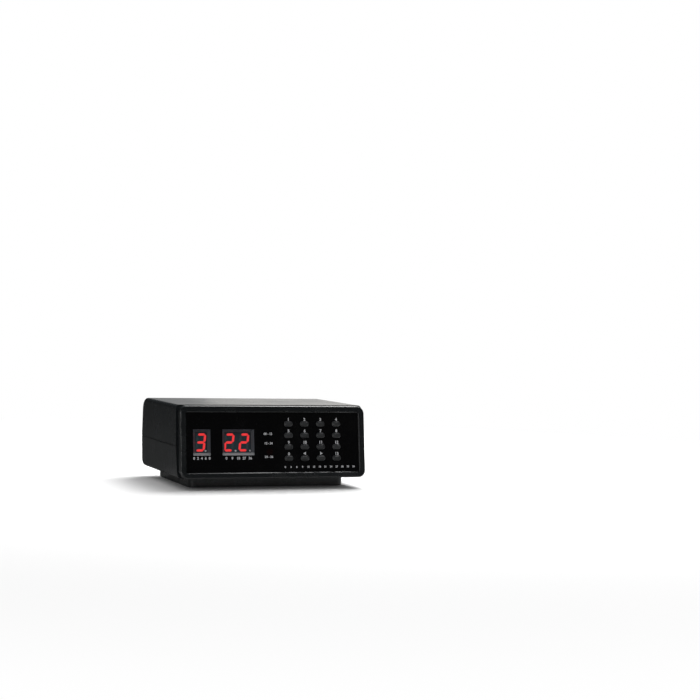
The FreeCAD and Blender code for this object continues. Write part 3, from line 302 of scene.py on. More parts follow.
def rubbedEdges(graph):   # 1 along the long edges and at the rear corners, in patches
    x, y, z = graph.axes()
    side = 1 - (rubbing["side"] - abs(x)).between(0.0, rubbing["reach"])
    top = 1 - (rubbing["top"] - z).between(0.0, rubbing["topReach"])
    rear = 1 - (rubbing["rear"] - y).between(0.0, rubbing["reach"])
    patches = graph.noise(rubbing["patches"]).between(*rubbing["patchRange"])
    return (side * top + side * rear).clamped() * patches


def moulded(name):
    look = mouldedLooks[name]
    graph = newMaterial(name)
    low, high = look["rough"]
    grain = graph.noise(look["grain"], detail=2.0, roughness=0.5)
    marks = graph.noise(moulding["marks"], detail=4.0, roughness=0.6)
    marks = marks.between(*moulding["markRange"])
    blotches = graph.noise(moulding["blotches"], roughness=0.6)
    patches = graph.noise(moulding["dustPatches"], detail=2.0).between(*moulding["dustRange"])
    specks = graph.spots(moulding["specks"]) < moulding["speckSize"]
    dust = specks * patches * look["dust"] * moulding["dustGain"]
    dim, bright = (rgb(look["colour"], gain) for gain in moulding["tones"])
    tone = graph.blend(blotches, dim, bright)
    settled = (dust + marks * look["dust"] * moulding["markDust"]).clamped()
    tone = graph.blend(settled, tone, moulding["dustColour"])
    rough = low + (high - low) * marks + (grain - 0.5) * moulding["grainRough"]
    rough = rough + dust * moulding["dustRough"]
    if look["rubbed"]:
        edge = rubbedEdges(graph)
        tone = graph.blend(edge * rubbing["share"], tone, rgb(look["colour"], rubbing["gain"]))
        rough = rough - edge * rubbing["shine"]
    relief = graph.bump(grain + blotches * moulding["blotchHeight"], look["grainDepth"])
    graph.finish({"Base Color": tone, "Roughness": rough.clamped(), "Normal": relief,
                  "Specular IOR Level": look["specular"]})


# hard-coated acrylic, with hairline scratches and a little dust
panelLook = {"colour": (0.0024, 0.0024, 0.0028, 1), "smears": 45, "smearRange": (0.42, 0.72),
             "scratches": 900, "scratchStretch": (1.0, 0.04, 0.04), "scratchRange": (0.7, 0.74),
             "specks": 700, "speckSize": 0.07, "dustPatches": 80, "dustRange": (0.5, 0.62),
             "dustShare": 0.16, "smearShare": 0.004, "dustColour": (0.3, 0.3, 0.3, 1),
             "rough": 0.1, "smearRough": 0.07, "scratchRough": 0.05, "dustRough": 0.2,
             "specular": 0.42, "ripple": 90, "rippleDepth": 1.2e-5, "rippleStrength": 0.5}


def glossyPanel():
    look = panelLook
    graph = newMaterial("panelBlack")
    smears = graph.noise(look["smears"], detail=4.0, roughness=0.6).between(*look["smearRange"])
    scratches = graph.noise(look["scratches"], detail=2.0, roughness=0.5,
                            stretch=look["scratchStretch"]).between(*look["scratchRange"])
    patches = graph.noise(look["dustPatches"], detail=2.0).between(*look["dustRange"])
    dust = (graph.spots(look["specks"]) < look["speckSize"]) * patches
    pale = (dust * look["dustShare"] + smears * look["smearShare"]).clamped()
    rough = look["rough"] + smears * look["smearRough"] + scratches * look["scratchRough"]
    ripple = graph.noise(look["ripple"], detail=2.0)
    graph.finish({"Base Color": graph.blend(pale, look["colour"], look["dustColour"]),
                  "Roughness": (rough + dust * look["dustRough"]).clamped(),
                  "Specular IOR Level": look["specular"],
                  "Normal": graph.bump(ripple, look["rippleDepth"], look["rippleStrength"])})


# smoked face of the number displays, a little darker towards its top
displayLook = {"cloud": 120, "tones": ((0.026, 0.05, 0.062, 1), (0.044, 0.075, 0.09, 1)),
               "fadeRange": (0.024, 0.05), "fade": 0.3, "faded": (0.02, 0.036, 0.045, 1),
               "rough": 0.24, "roughScale": 700, "roughSpan": 0.12, "specular": 0.4,
               "relief": 1500, "reliefDepth": 5e-6}


def displayWindow():
    look = displayLook
    graph = newMaterial("displayFace")
    fade = graph.axes()[2].between(*look["fadeRange"])
    tone = graph.blend(graph.noise(look["cloud"]), *look["tones"])
    tone = graph.blend(fade * look["fade"], tone, look["faded"])
    rough = look["rough"] + graph.noise(look["roughScale"], detail=2.0) * look["roughSpan"]
    relief = graph.bump(graph.noise(look["relief"], detail=2.0), look["reliefDepth"])
    graph.finish({"Base Color": tone, "Roughness": rough, "Specular IOR Level": look["specular"],
                  "Normal": relief})


# satin grey; the sill, which faces the light above, is painted palest as a painted highlight
frameLook = {"cloud": 900, "tones": ((0.045, 0.052, 0.064, 1), (0.062, 0.07, 0.084, 1)),
             "sillRange": (0.0281, 0.0286), "sill": (0.3, 0.31, 0.325, 1), "rough": 0.3,
             "cloudRough": 0.12, "specular": 0.4, "relief": 3600, "reliefDepth": 4e-6}


def windowFrame():
    look = frameLook
    graph = newMaterial("frameGrey")
    # the lowest slope is picked by height and given the pale colour: a painted highlight, not the
    # frame's own colour
    sill = 1 - graph.axes()[2].between(*look["sillRange"])
    cloud = graph.noise(look["cloud"])
    tone = graph.blend(sill, graph.blend(cloud, *look["tones"]), look["sill"])
    relief = graph.bump(graph.noise(look["relief"], detail=2.0), look["reliefDepth"])
    graph.finish({"Base Color": tone, "Roughness": look["rough"] + cloud * look["cloudRough"],
                  "Specular IOR Level": look["specular"], "Normal": relief})


litLook = {"core": 900, "coreRange": (0.2, 0.8), "base": (0.5, 0.02, 0.012, 1), "rough": 0.35,
           "tones": ((0.72, 0.026, 0.032, 1), (0.88, 0.042, 0.05, 1)), "coreRough": 0.1,
           "strength": 0.85}
darkLook = {"cloud": 700, "tones": ((0.04, 0.07, 0.08, 1), (0.055, 0.09, 0.105, 1)),
            "rough": 0.3, "roughScale": 1500, "roughSpan": 0.15}


def litSegment():
    look = litLook
    graph = newMaterial("litSegment")
    core = graph.noise(look["core"], detail=2.0).between(*look["coreRange"])
    graph.finish({"Base Color": look["base"], "Roughness": look["rough"] + core * look["coreRough"],
                  "Emission Color": graph.blend(core, *look["tones"]),
                  "Emission Strength": look["strength"]})


def darkSegment():
    look = darkLook
    graph = newMaterial("darkSegment")
    tone = graph.blend(graph.noise(look["cloud"], detail=2.0), *look["tones"])
    rough = look["rough"] + graph.noise(look["roughScale"]) * look["roughSpan"]
    graph.finish({"Base Color": tone, "Roughness": rough})


inkColours = {"paleInk": (0.8, 0.81, 0.83), "dimInk": (0.3, 0.31, 0.32)}
inkFinish = {"wear": 2600, "wearRange": (0.28, 0.5), "wornGain": 0.72, "rough": 0.42,
             "roughScale": 1800, "roughSpan": 0.16, "relief": 4000, "reliefDepth": 4e-6}


def printedInk(name, colour):
    look = inkFinish
    graph = newMaterial(name)
    wear = graph.noise(look["wear"]).between(*look["wearRange"])
    rough = look["rough"] + graph.noise(look["roughScale"]) * look["roughSpan"]
    relief = graph.bump(graph.noise(look["relief"], detail=2.0), look["reliefDepth"])
    graph.finish({"Base Color": graph.blend(wear, rgb(colour, look["wornGain"]), rgb(colour)),
                  "Roughness": rough, "Normal": relief})


metalLooks = {
    "steel": {"colour": (0.58, 0.57, 0.55), "rough": (0.2, 0.36), "streak": (1.0, 1.0, 0.12)},
    "steelBlack": {"colour": (0.06, 0.06, 0.062), "rough": (0.3, 0.46), "streak": (1.0, 1.0, 0.3)},
    "aluminium": {"colour": (0.66, 0.67, 0.69), "rough": (0.26, 0.42), "streak": (1.0, 1.0, 0.06)},
    "plate": {"colour": (0.62, 0.62, 0.61), "rough": (0.3, 0.42), "streak": (0.04, 1.0, 1.0)},
}
brushing = {"streaks": 1400, "tones": (0.86, 1.08), "tarnish": 160, "tarnishRange": (0.45, 0.75),
            "tarnishShare": 0.35, "tarnishGain": 0.55, "tarnishRough": 0.08, "depth": 4e-6}


def metal(name):
    look = metalLooks[name]
    graph = newMaterial(name)
    low, high = look["rough"]
    streaks = graph.noise(brushing["streaks"], roughness=0.6, stretch=look["streak"])
    tarnish = graph.noise(brushing["tarnish"], detail=4.0).between(*brushing["tarnishRange"])
    dim, bright = (rgb(look["colour"], gain) for gain in brushing["tones"])
    tone = graph.blend(streaks, dim, bright)
    tone = graph.blend(tarnish * brushing["tarnishShare"], tone,
                       rgb(look["colour"], brushing["tarnishGain"]))
    rough = low + (high - low) * streaks + tarnish * brushing["tarnishRough"]
    graph.finish({"Base Color": tone, "Metallic": 1.0, "Roughness": rough,
                  "Normal": graph.bump(streaks, brushing["depth"])})


# green lacquer over copper tracks
boardLook = {"trackPitch": 0.0051, "trackLimit": 0.86, "crossPitch": 0.0064, "crossLimit": 0.88,
             "regions": 70, "regionRange": (0.46, 0.5), "cloud": 90,
             "tones": ((0.008, 0.055, 0.022, 1), (0.012, 0.075, 0.03, 1)),
             "copper": (0.035, 0.16, 0.06, 1), "copperShare": 0.8,
             "rough": 0.3, "roughScale": 900, "roughSpan": 0.14, "relief": 2500,
             "reliefShare": 0.2, "depth": 3e-5}


def circuitBoard():
    look = boardLook
    graph = newMaterial("boardGreen")
    x, y, z = graph.axes()
    region = graph.noise(look["regions"], detail=1.0).between(*look["regionRange"])
    tracks = (graph.wave(x, look["trackPitch"]) > look["trackLimit"]) * region
    cross = (graph.wave(y + z, look["crossPitch"]) > look["crossLimit"]) * (1 - region)
    copper = (tracks + cross).clamped()
    tone = graph.blend(graph.noise(look["cloud"]), *look["tones"])
    tone = graph.blend(copper * look["copperShare"], tone, look["copper"])
    rough = look["rough"] + graph.noise(look["roughScale"]) * look["roughSpan"]
    relief = copper + graph.noise(look["relief"]) * look["reliefShare"]
    graph.finish({"Base Color": tone, "Roughness": rough,
                  "Normal": graph.bump(relief, look["depth"])})


coreLook = {"platePitch": 0.0007, "tones": ((0.05, 0.045, 0.042, 1), (0.11, 0.1, 0.095, 1)),
            "rust": 220, "rustRange": (0.55, 0.75), "rustShare": 0.5,
            "rustColour": (0.12, 0.05, 0.025, 1), "metallic": 0.6, "rough": 0.42,
            "plateRough": 0.12, "depth": 8e-5}
windingLook = {"wander": 60, "wanderReach": 0.0008, "pitch": 0.0006, "metallic": 0.85,
               "tones": ((0.2, 0.06, 0.02, 1), (0.55, 0.22, 0.08, 1)), "rough": 0.28,
               "turnRough": 0.1, "depth": 1.6e-4}


def laminations():
    look = coreLook
    graph = newMaterial("coreIron")
    plates = graph.wave(graph.axes()[1], look["platePitch"])
    rust = graph.noise(look["rust"], detail=4.0).between(*look["rustRange"])
    tone = graph.blend(plates, *look["tones"])
    tone = graph.blend(rust * look["rustShare"], tone, look["rustColour"])
    graph.finish({"Base Color": tone, "Metallic": look["metallic"],
                  "Roughness": look["rough"] + plates * look["plateRough"],
                  "Normal": graph.bump(plates, look["depth"])})


def windings():
    look = windingLook
    graph = newMaterial("windingCopper")
    height = graph.axes()[2] + graph.noise(look["wander"]) * look["wanderReach"]
    turns = graph.wave(height, look["pitch"])
    graph.finish({"Base Color": graph.blend(turns, *look["tones"]), "Metallic": look["metallic"],
                  "Roughness": look["rough"] + turns * look["turnRough"],
                  "Normal": graph.bump(turns, look["depth"])})


rubberLook = {"bloom": 90, "bloomRange": (0.4, 0.7), "rough": 0.68, "bloomRough": 0.14,
              "tones": ((0.011, 0.011, 0.011, 1), (0.03, 0.029, 0.028, 1)), "specular": 0.3,
              "relief": 3000, "reliefDepth": 2e-5}
fuseLook = {"middle": 0.018, "halfGlass": 0.0052, "glass": (0.82, 0.86, 0.86, 1),
            "caps": (0.6, 0.58, 0.52, 1), "rough": 0.07, "capRough": 0.2, "clear": 0.3}
sensorLook = {"cloud": 400, "tones": ((0.005, 0.002, 0.002, 1), (0.01, 0.003, 0.003, 1)),
              "rough": 0.09, "roughScale": 900, "roughSpan": 0.06, "specular": 0.4}


def rubber():
    look = rubberLook
    graph = newMaterial("rubberBlack")
    bloom = graph.noise(look["bloom"], detail=4.0).between(*look["bloomRange"])
    graph.finish({"Base Color": graph.blend(bloom, *look["tones"]),
                  "Roughness": look["rough"] + bloom * look["bloomRough"],
                  "Specular IOR Level": look["specular"],
                  "Normal": graph.bump(graph.noise(look["relief"]), look["reliefDepth"])})


def fuseGlass():
    look = fuseLook
    graph = newMaterial("fuseGlass")
    caps = abs(graph.axes()[0] - look["middle"]) > look["halfGlass"]
    graph.finish({"Base Color": graph.blend(caps, look["glass"], look["caps"]), "Metallic": caps,
                  "Roughness": look["rough"] + caps * look["capRough"],
                  "Transmission Weight": look["clear"]})


def sensorRed():
    look = sensorLook
    graph = newMaterial("sensorRed")
    rough = look["rough"] + graph.noise(look["roughScale"]) * look["roughSpan"]
    graph.finish({"Base Color": graph.blend(graph.noise(look["cloud"]), *look["tones"]),
                  "Roughness": rough, "Specular IOR Level": look["specular"]})


for name in mouldedLooks:
    moulded(name)
for name in metalLooks:
    metal(name)
for name, colour in inkColours.items():
    printedInk(name, colour)
for makeFinish in (glossyPanel, displayWindow, circuitBoard, laminations, windings, rubber,
                   fuseGlass, sensorRed, litSegment, windowFrame, darkSegment):
    makeFinish()
print("finishes made:", len(finishes))

# every CAD node takes the finish of its slot in the record
slotOf = {part["node"]: part["material_slot"] for part in frame["record"]["subparts"]}


def finishFor(slotName):   # housing_black is dressed in housingBlack
    words = slotName.split("_")
    return finishes[words[0] + "".join(word.title() for word in words[1:])]


for name, node in nodes.items():
    node.data.materials.clear()
    node.data.materials.append(finishFor(slotOf[name]))
    only(node)
    bpy.ops.object.shade_flat()
print("nodes dressed:", len(nodes))

# printed numbers, each a thin layer of ink
inkLook = {"thickness": 0.02, "capShare": 0.69, "weight": 0.06}


def lettering(words, cap, place):
    deselect()
    bpy.ops.object.text_add()
    piece = bpy.context.object
    piece.data.body = words
    piece.data.size = cap / inkLook["capShare"] * mm
    piece.data.align_x = "CENTER"
    piece.data.align_y = "CENTER"
    piece.data.resolution_u = 3
    piece.data.extrude = inkLook["thickness"] * mm
    piece.data.offset = inkLook["weight"] * cap * mm
    bpy.ops.object.convert(target="MESH")
    piece = bpy.context.object
    piece.data.transform(place)
    return piece


legends = {"columns": (11.8, 24.85, 37.9, 50.95), "rows": (41.6, 32.8, 24.0, 15.2),
           "raise": 3.3, "cap": 2.1, "arrowRadius": 1.44, "arrowRaise": 0.35,
           "words": ("1", "2", "3", "4", "5", "6", "7", "8", "9", "10", "11", "12",
                     "0", "left", "right", "13")}


def arrow(pointing, place):   # a small filled triangle
    deselect()
    bpy.ops.mesh.primitive_circle_add(vertices=3, radius=legends["arrowRadius"] * mm,
                                      fill_type="NGON")
    piece = bpy.context.object
    bpy.ops.object.mode_set(mode="EDIT")
    thicken(inkLook["thickness"])
    quarter = math.radians(90 if pointing == "left" else -90)
    piece.data.transform(place @ Matrix.Rotation(quarter, 4, "Z"))
    return piece


legendPieces = []
for i, words in enumerate(legends["words"]):
    row, column = divmod(i, len(legends["columns"]))
    across, up = legends["columns"][column], legends["rows"][row] + legends["raise"]
    if words in ("left", "right"):
        spot = onFront(across, up + legends["arrowRaise"], front["panelFace"])
        legendPieces.append(arrow(words, spot))
    else:
        spot = onFront(across, up, front["panelFace"])
        legendPieces.append(lettering(words, legends["cap"], spot))
dress(joinAll(legendPieces, "keyNumbers"), finishes["paleInk"])

# rows of numbers: name, words, first and last place across, height, size
numberRows = (("memoryScale", ("0", "2", "4", "6", "8"), -63.4, -51.4, 15.6, 1.9),
              ("headingScale", ("0", "9", "18", "27", "36"), -38.2, -19.4, 15.5, 1.9),
              ("degreeLine", [str(3 * i) for i in range(13)], 8.6, 64.6, 8.5, 1.4))
rangeMarks = {"cap": 1.6, "marks": ((33.9, -4.9, "00 - 12"), (26.7, -4.6, "12 - 24"),
                                    (16.4, -4.4, "24 - 36"))}
backMarks = {"count": 3, "first": -46.0, "pitch": 12.0, "height": 37.2, "rear": 56.0, "cap": 3.4}

for name, words, left, right, up, cap in numberRows:
    step = (right - left) / (len(words) - 1)
    row = [lettering(word, cap, onFront(left + i * step, up, front["panelFace"]))
           for i, word in enumerate(words)]
    dress(joinAll(row, name), finishes["paleInk"])
for i, (up, across, words) in enumerate(rangeMarks["marks"]):
    piece = lettering(words, rangeMarks["cap"], onFront(across, up, front["panelFace"]))
    dress(joinAll([piece], "rangeNumber_%d" % (i + 1)), finishes["paleInk"])
terminalNumbers = []
for i in range(backMarks["count"]):
    across = backMarks["first"] + i * backMarks["pitch"]
    spot = onBack(across, backMarks["height"], backMarks["rear"])
    terminalNumbers.append(lettering(str(i + 1), backMarks["cap"], spot))
dress(joinAll(terminalNumbers, "terminalNumbers"), finishes["dimInk"])
print("numbers printed")

# seven-segment figures behind the windows
figure = {"width": 7.6, "height": 13.7, "thickness": 1.75, "gap": 0.14, "slant": 7, "relief": 0.06,
          "endSlack": 0.1, "weld": 1e-6}
figures = (("memoryFigure", -57.3, 27.8, "abgcd"), ("tensFigure", -35.0, 27.7, "abged"),
           ("unitsFigure", -23.3, 27.7, "abged"))
points = {"across": (-53.6, -30.0, -18.5), "up": 21.4, "radius": 0.72, "sides": 20, "round": 0.03,
          "roundSteps": 2}


def makeSegment(length):   # a bar with pointed ends, lying along x
    half = figure["thickness"] / 2 * mm
    body = length * mm - 2 * half
    piece = sheet(body, 2 * half)
    for side in (-1, 1):
        bpy.ops.object.mode_set(mode="EDIT")
        bpy.ops.mesh.select_mode(type="EDGE")
        bpy.ops.mesh.select_all(action="DESELECT")
        bpy.ops.object.mode_set(mode="OBJECT")
        for edge in piece.data.edges:
            ends = [piece.data.vertices[i].co.x * side for i in edge.vertices]
            edge.select = min(ends) > body / 2 - half * figure["endSlack"]
        bpy.ops.object.mode_set(mode="EDIT")
        bpy.ops.mesh.extrude_region_move(TRANSFORM_OT_translate={"value": (side * half, 0, 0)})
        bpy.ops.transform.resize(value=(1, 0, 1))
        bpy.ops.object.mode_set(mode="OBJECT")
    bpy.ops.object.mode_set(mode="EDIT")
    bpy.ops.mesh.select_all(action="SELECT")
    bpy.ops.mesh.remove_doubles(threshold=figure["weld"])
    thicken(figure["relief"])
    return piece


def makeFigure(name, across, up, lit):
    wide = figure["width"] - figure["thickness"]
    tall = (figure["height"] - figure["thickness"]) / 2
    flat = makeSegment(wide - 2 * figure["gap"])
    upright = makeSegment(tall - 2 * figure["gap"])
    slant = Matrix.Identity(4)
    slant[0][1] = math.tan(math.radians(figure["slant"]))
    places = {"a": (0, tall, 0), "g": (0, 0, 0), "d": (0, -tall, 0),
              "b": (wide / 2, tall / 2, 90), "c": (wide / 2, -tall / 2, 90),
              "f": (-wide / 2, tall / 2, 90), "e": (-wide / 2, -tall / 2, 90)}
    groups = {True: [], False: []}
    for letter, (x, y, turn) in places.items():
        twin = copyOf(upright if turn else flat, name + letter)
        place = Matrix.Translation(Vector((x, y, 0)) * mm)
        place = place @ Matrix.Rotation(math.radians(turn), 4, "Z")
        twin.data.transform(onFront(across, up, front["displayFace"]) @ slant @ place)
        groups[letter in lit].append(twin)
    bpy.data.objects.remove(flat)
    bpy.data.objects.remove(upright)
    dress(joinAll(groups[True], name + "_lit"), finishes["litSegment"])
    dress(joinAll(groups[False], name + "_dark"), finishes["darkSegment"])


def makePoint(name, across):
    deselect()
    bpy.ops.mesh.primitive_cylinder_add(vertices=points["sides"], radius=points["radius"] * mm,
                                        depth=2 * figure["relief"] * mm)
    piece = bpy.context.object
    pickFaces(piece, lambda face: face.normal.z > facing)
    bpy.ops.mesh.bevel(offset=points["round"] * mm, segments=points["roundSteps"])
    bpy.ops.object.mode_set(mode="OBJECT")
    piece.data.transform(onFront(across, points["up"], front["displayFace"]))
    dress(joinAll([piece], name), finishes["paleInk"])


for settings in figures:
    makeFigure(*settings)
for i, across in enumerate(points["across"]):
    makePoint("pointDot_%d" % (i + 1), across)
print("figures lit")

# sloping frames in the windows, and the fine cove between bezel and panel
slopes = {"sheet": 0.06, "smooth": 30, "sink": 0.02}
windows = {"memoryFrame": (-57.25, 13.6), "headingFrame": (-28.55, 25.2)}   # middle and width
windowSize = {"bottom": 17.7, "height": 19.8, "slope": 2.1, "room": 0.1}
cove = {"width": 140.0, "height": 47.0, "middle": 27.5, "slope": 0.62, "room": 0.02}


def makeSlope(name, across, up, width, height, depth, slope, finish):
    piece = sheet(width * mm, height * mm)
    pickFaces(piece, lambda face: True)
    bpy.ops.mesh.inset(thickness=slope * mm, depth=-slope * mm)
    bpy.ops.mesh.delete(type="FACE")
    bpy.ops.object.mode_set(mode="OBJECT")
    applyModifier(piece, "SOLIDIFY", thickness=slopes["sheet"] * mm, offset=1)
    piece.data.transform(onFront(across, up, depth))
    only(piece)
    bpy.ops.object.shade_smooth_by_angle(angle=math.radians(slopes["smooth"]))
    dress(joinAll([piece], name), finishes[finish])


for name, (across, width) in windows.items():
    makeSlope(name, across, windowSize["bottom"] + windowSize["height"] / 2,
              width - windowSize["room"], windowSize["height"] - windowSize["room"],
              front["panelFace"], windowSize["slope"], "frameGrey")
makeSlope("panelCove", 0, cove["middle"], cove["width"] - cove["room"],
          cove["height"] - cove["room"], front["panelFace"] - cove["slope"] - slopes["sink"],
          cove["slope"], "bezelBlack")
print("window frames made")

# screws that close the housing from below, with a cross recess
caseScrew = {"head": 2.8, "headHeight": 2.0, "shank": 1.5, "seat": 14.0, "length": 29.0,
             "sides": 40, "round": 0.45, "roundSteps": 3, "tip": 1.2, "tipShare": 0.55,
             "recess": 1.1, "arm": 2.7, "blade": 0.62, "across": 66.4, "rows": (-31.0, 46.0),
             "firstTurn": 17, "turnStep": 31, "smooth": 32}


def makeScrew():
    deselect()
    middle = caseScrew["seat"] - caseScrew["headHeight"] / 2
    bpy.ops.mesh.primitive_cylinder_add(vertices=caseScrew["sides"], radius=caseScrew["head"] * mm,
                                        depth=caseScrew["headHeight"] * mm,
                                        location=(0, 0, middle * mm))
    head = bpy.context.object
    bpy.ops.object.transform_apply(location=True, rotation=True, scale=True)
    pickFaces(head, lambda face: face.normal.z < -facing)
    bpy.ops.mesh.bevel(offset=caseScrew["round"] * mm, segments=caseScrew["roundSteps"])
    bpy.ops.object.mode_set(mode="OBJECT")
    pickFaces(head, lambda face: face.normal.z > facing)
    bpy.ops.mesh.inset(thickness=(caseScrew["head"] - caseScrew["shank"]) * mm)
    extrudeUp(caseScrew["length"] - caseScrew["tip"])
    extrudeUp(caseScrew["tip"])
    bpy.ops.transform.resize(value=(caseScrew["tipShare"], caseScrew["tipShare"], 1))
    bpy.ops.object.mode_set(mode="OBJECT")
    arm, blade = caseScrew["arm"] * mm, caseScrew["blade"] * mm
    for width, height in ((arm, blade), (blade, arm)):
        deselect()
        bottom = caseScrew["seat"] - caseScrew["headHeight"]
        bpy.ops.mesh.primitive_cube_add(size=1, location=(0, 0, bottom * mm))
        tool = bpy.context.object
        tool.scale = (width, height, 2 * caseScrew["recess"] * mm)
        bpy.ops.object.transform_apply(location=True, rotation=True, scale=True)
        applyModifier(head, "BOOLEAN", object=tool, operation="DIFFERENCE", solver="EXACT")
        bpy.data.objects.remove(tool)
    return head


screwModel = makeScrew()
screwSet = []
for i, across in enumerate((-caseScrew["across"], caseScrew["across"])):
    for j, y in enumerate(caseScrew["rows"]):
        twin = copyOf(screwModel, "screwCopy_%d%d" % (i, j))
        turn = math.radians(caseScrew["firstTurn"] + caseScrew["turnStep"] * (2 * i + j))
        place = Matrix.Translation(Vector((across, y, 0)) * mm)
        twin.data.transform(place @ Matrix.Rotation(turn, 4, "Z"))
        screwSet.append(twin)
bpy.data.objects.remove(screwModel)
screwSet = dress(joinAll(screwSet, "caseScrewSet"), finishes["steelBlack"])
only(screwSet)
bpy.ops.object.shade_smooth_by_angle(angle=math.radians(caseScrew["smooth"]))
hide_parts("case_screws")

# a bare plate under the plinth, where such boxes carry one
blankPlate = {"length": 44.0, "width": 22.0, "corner": 2.0, "cornerSteps": 6, "thickness": 0.25,
              "rim": 0.7, "sink": 0.08, "x": -28.0, "y": 2.0, "z": 1.0}


def makePlate():
    piece = sheet(blankPlate["length"] * mm, blankPlate["width"] * mm)
    bpy.ops.object.mode_set(mode="EDIT")
    bpy.ops.mesh.select_mode(type="VERT")
    bpy.ops.mesh.select_all(action="SELECT")
    bpy.ops.mesh.bevel(offset=blankPlate["corner"] * mm, segments=blankPlate["cornerSteps"],
                       affect="VERTICES")
    thicken(blankPlate["thickness"])
    pickFaces(piece, lambda face: face.normal.z > facing)
    bpy.ops.mesh.inset(thickness=blankPlate["rim"] * mm)
    extrudeUp(-blankPlate["sink"])
    bpy.ops.object.mode_set(mode="OBJECT")
    piece.data.transform(underneath(blankPlate["x"], blankPlate["y"], blankPlate["z"]))
    return piece


dress(joinAll([makePlate()], "blankPlate"), finishes["plate"])
print("screws and plate made")

# floor, light and background, in metres and watts
floorLook = {"radius": 4.0, "sides": 96, "farRange": (0.32, 0.75), "paper": 0.84, "glow": 0.02,
             "bounce": 0.2, "mirrorRange": (-0.1, 0.1), "mirroredAhead": 0.6,
             "mirroredBehind": 0.06}
lamps = {"softbox": {"place": (0.34, 0.3, 0.8), "size": 0.6, "power": 11.0},
         "sideStrip": {"place": (-0.62, -0.5, 0.16), "size": 0.05, "height": 0.4, "power": 1.1},
         "backCard": {"place": (0.54, 0.95, 0.3), "size": 0.6, "height": 0.5, "power": 0.5,
                      "colour": (1.0, 0.965, 0.9)}}
lampAim = (0, 0, 0.03)
skyLook = {"toward": (0.5, 0.86, 0.05), "range": (0.88, 0.985), "dark": 0.03, "bright": 0.62,
           "heights": (0.05, 0.9), "level": 0.22, "overhead": 0.8}


def makeFloor():
    deselect()
    bpy.ops.mesh.primitive_circle_add(vertices=floorLook["sides"], radius=floorLook["radius"],
                                      fill_type="NGON")
    floor = bpy.context.object
    floor.name = "floor"
    graph = newMaterial("floorPale")
    length = graph.node("ShaderNodeVectorMath", {"operation": "LENGTH"}, {0: graph.coordinates()})
    far = Wire(graph, length.outputs["Value"]).between(*floorLook["farRange"])
    seen = graph.rays("Is Camera Ray")
    glossy = graph.rays("Is Glossy Ray")
    ahead, behind = floorLook["mirroredAhead"], floorLook["mirroredBehind"]
    mirrored = ahead + (behind - ahead) * graph.axes()[1].between(*floorLook["mirrorRange"])
    unseen = floorLook["bounce"] * (1 - glossy) + mirrored * glossy
    shade = seen * floorLook["paper"] + (1 - seen) * unseen
    tone = graph.node("ShaderNodeCombineColor", {}, {0: shade, 1: shade, 2: shade})
    paper = graph.node("ShaderNodeBsdfDiffuse", {}, {"Color": Wire(graph, tone.outputs[0])})
    glow = graph.node("ShaderNodeEmission", {}, {"Color": (1, 1, 1, 1),
                                                 "Strength": seen * floorLook["glow"]})
    summed = graph.node("ShaderNodeAddShader")
    graph.tree.links.new(paper.outputs[0], summed.inputs[0])
    graph.tree.links.new(glow.outputs[0], summed.inputs[1])
    white = graph.node("ShaderNodeEmission", {}, {"Color": (1, 1, 1, 1), "Strength": 1.0})
    mix = graph.node("ShaderNodeMixShader", {}, {0: far * seen})
    graph.tree.links.new(summed.outputs[0], mix.inputs[1])
    graph.tree.links.new(white.outputs[0], mix.inputs[2])
    output = graph.node("ShaderNodeOutputMaterial")
    graph.tree.links.new(mix.outputs[0], output.inputs[0])
    floor.data.materials.append(finishes["floorPale"])


def addLamp(name):
    look = lamps[name]
    deselect()
    bpy.ops.object.light_add(type="AREA", location=look["place"])
    lamp = bpy.context.object
    lamp.name = name
    lamp.data.energy = look["power"]
    lamp.data.size = look["size"]
    if "height" in look:   # the two that are only seen as reflections
        lamp.data.shape = "RECTANGLE"
        lamp.data.size_y = look["height"]
        lamp.visible_diffuse = False
    if "colour" in look:
        lamp.data.color = look["colour"]
    aim = Vector(lampAim) - Vector(look["place"])
    lamp.rotation_euler = aim.to_track_quat("-Z", "Y").to_euler()


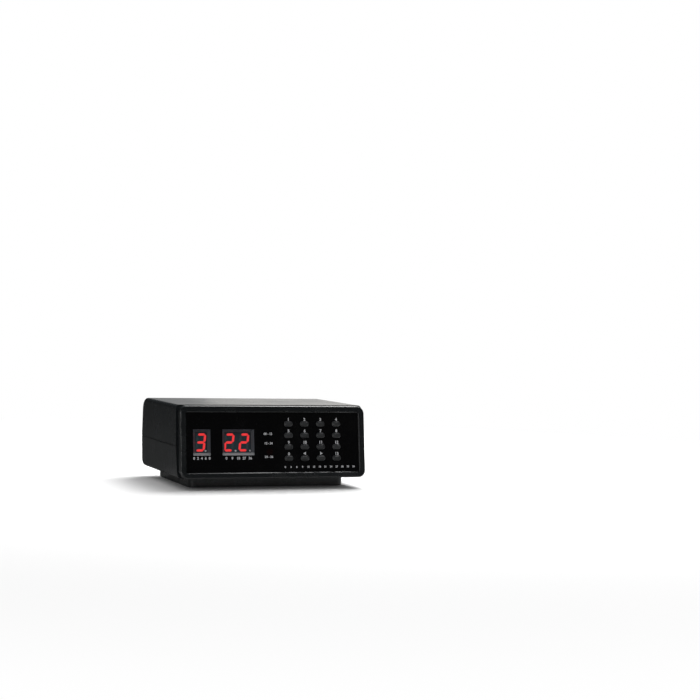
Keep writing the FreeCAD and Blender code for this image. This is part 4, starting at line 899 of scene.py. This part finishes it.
def makeSky():   # white to the camera; for reflections only the part behind is bright
    world = bpy.data.worlds.new("studio")
    bpy.context.scene.world = world
    world.use_nodes = True
    sky = Graph(world.node_tree)
    direction = Wire(sky, sky.node("ShaderNodeTexCoord").outputs["Generated"])
    toward = sky.node("ShaderNodeVectorMath", {"operation": "DOT_PRODUCT"},
                      {0: direction, 1: skyLook["toward"]})
    behind = Wire(sky, toward.outputs["Value"]).between(*skyLook["range"])
    camera = sky.rays("Is Camera Ray")
    mirror = (sky.rays("Is Glossy Ray") + sky.rays("Is Transmission Ray")).clamped()
    upward = sky.node("ShaderNodeSeparateXYZ", {}, {0: direction}).outputs[2]
    height = Wire(sky, upward).between(*skyLook["heights"])
    soft = skyLook["level"] + (skyLook["overhead"] - skyLook["level"]) * height
    seen = mirror * (skyLook["dark"] + skyLook["bright"] * behind) + (1 - mirror) * soft
    strength = camera + (1 - camera) * seen
    background = sky.node("ShaderNodeBackground", {}, {"Color": (1, 1, 1, 1), "Strength": strength})
    output = sky.node("ShaderNodeOutputWorld")
    sky.tree.links.new(background.outputs[0], output.inputs[0])


makeFloor()
for name in lamps:
    addLamp(name)
makeSky()

# the camera, fitted to the photograph: degrees, millimetres, and pixels of a 700-pixel picture
view = {"focal": 1585.3, "yaw": 21.56, "pitch": 1.079, "roll": 1.492, "shiftAcross": -73.87,
        "shiftUp": -100.81, "distance": 1204.96, "aim": (0.0, -62.0, 30.0), "photo": 700,
        "sensor": 36}


def placeCamera():
    yaw, pitch, roll = (math.radians(view[key]) for key in ("yaw", "pitch", "roll"))
    ahead = Vector((math.sin(yaw) * math.cos(pitch), math.cos(yaw) * math.cos(pitch),
                    -math.sin(pitch)))
    level = Vector((math.cos(yaw), -math.sin(yaw), 0))
    upward = level.cross(ahead)
    across = math.cos(roll) * level + math.sin(roll) * upward
    up = -math.sin(roll) * level + math.cos(roll) * upward
    offset = ahead + across * (view["shiftAcross"] / view["focal"])
    offset = offset + up * (view["shiftUp"] / view["focal"])
    deselect()
    bpy.ops.object.camera_add()
    made = bpy.context.object
    made.name = "photoCamera"
    made.data.sensor_width = view["sensor"]
    made.data.lens = view["focal"] / view["photo"] * view["sensor"]
    made.matrix_world = Matrix((across, up, -ahead)).transposed().to_4x4()
    made.location = (Vector(view["aim"]) - offset * view["distance"]) * mm
    bpy.context.scene.camera = made


placeCamera()
bpy.context.scene.view_settings.view_transform = "Standard"
print("stage set")
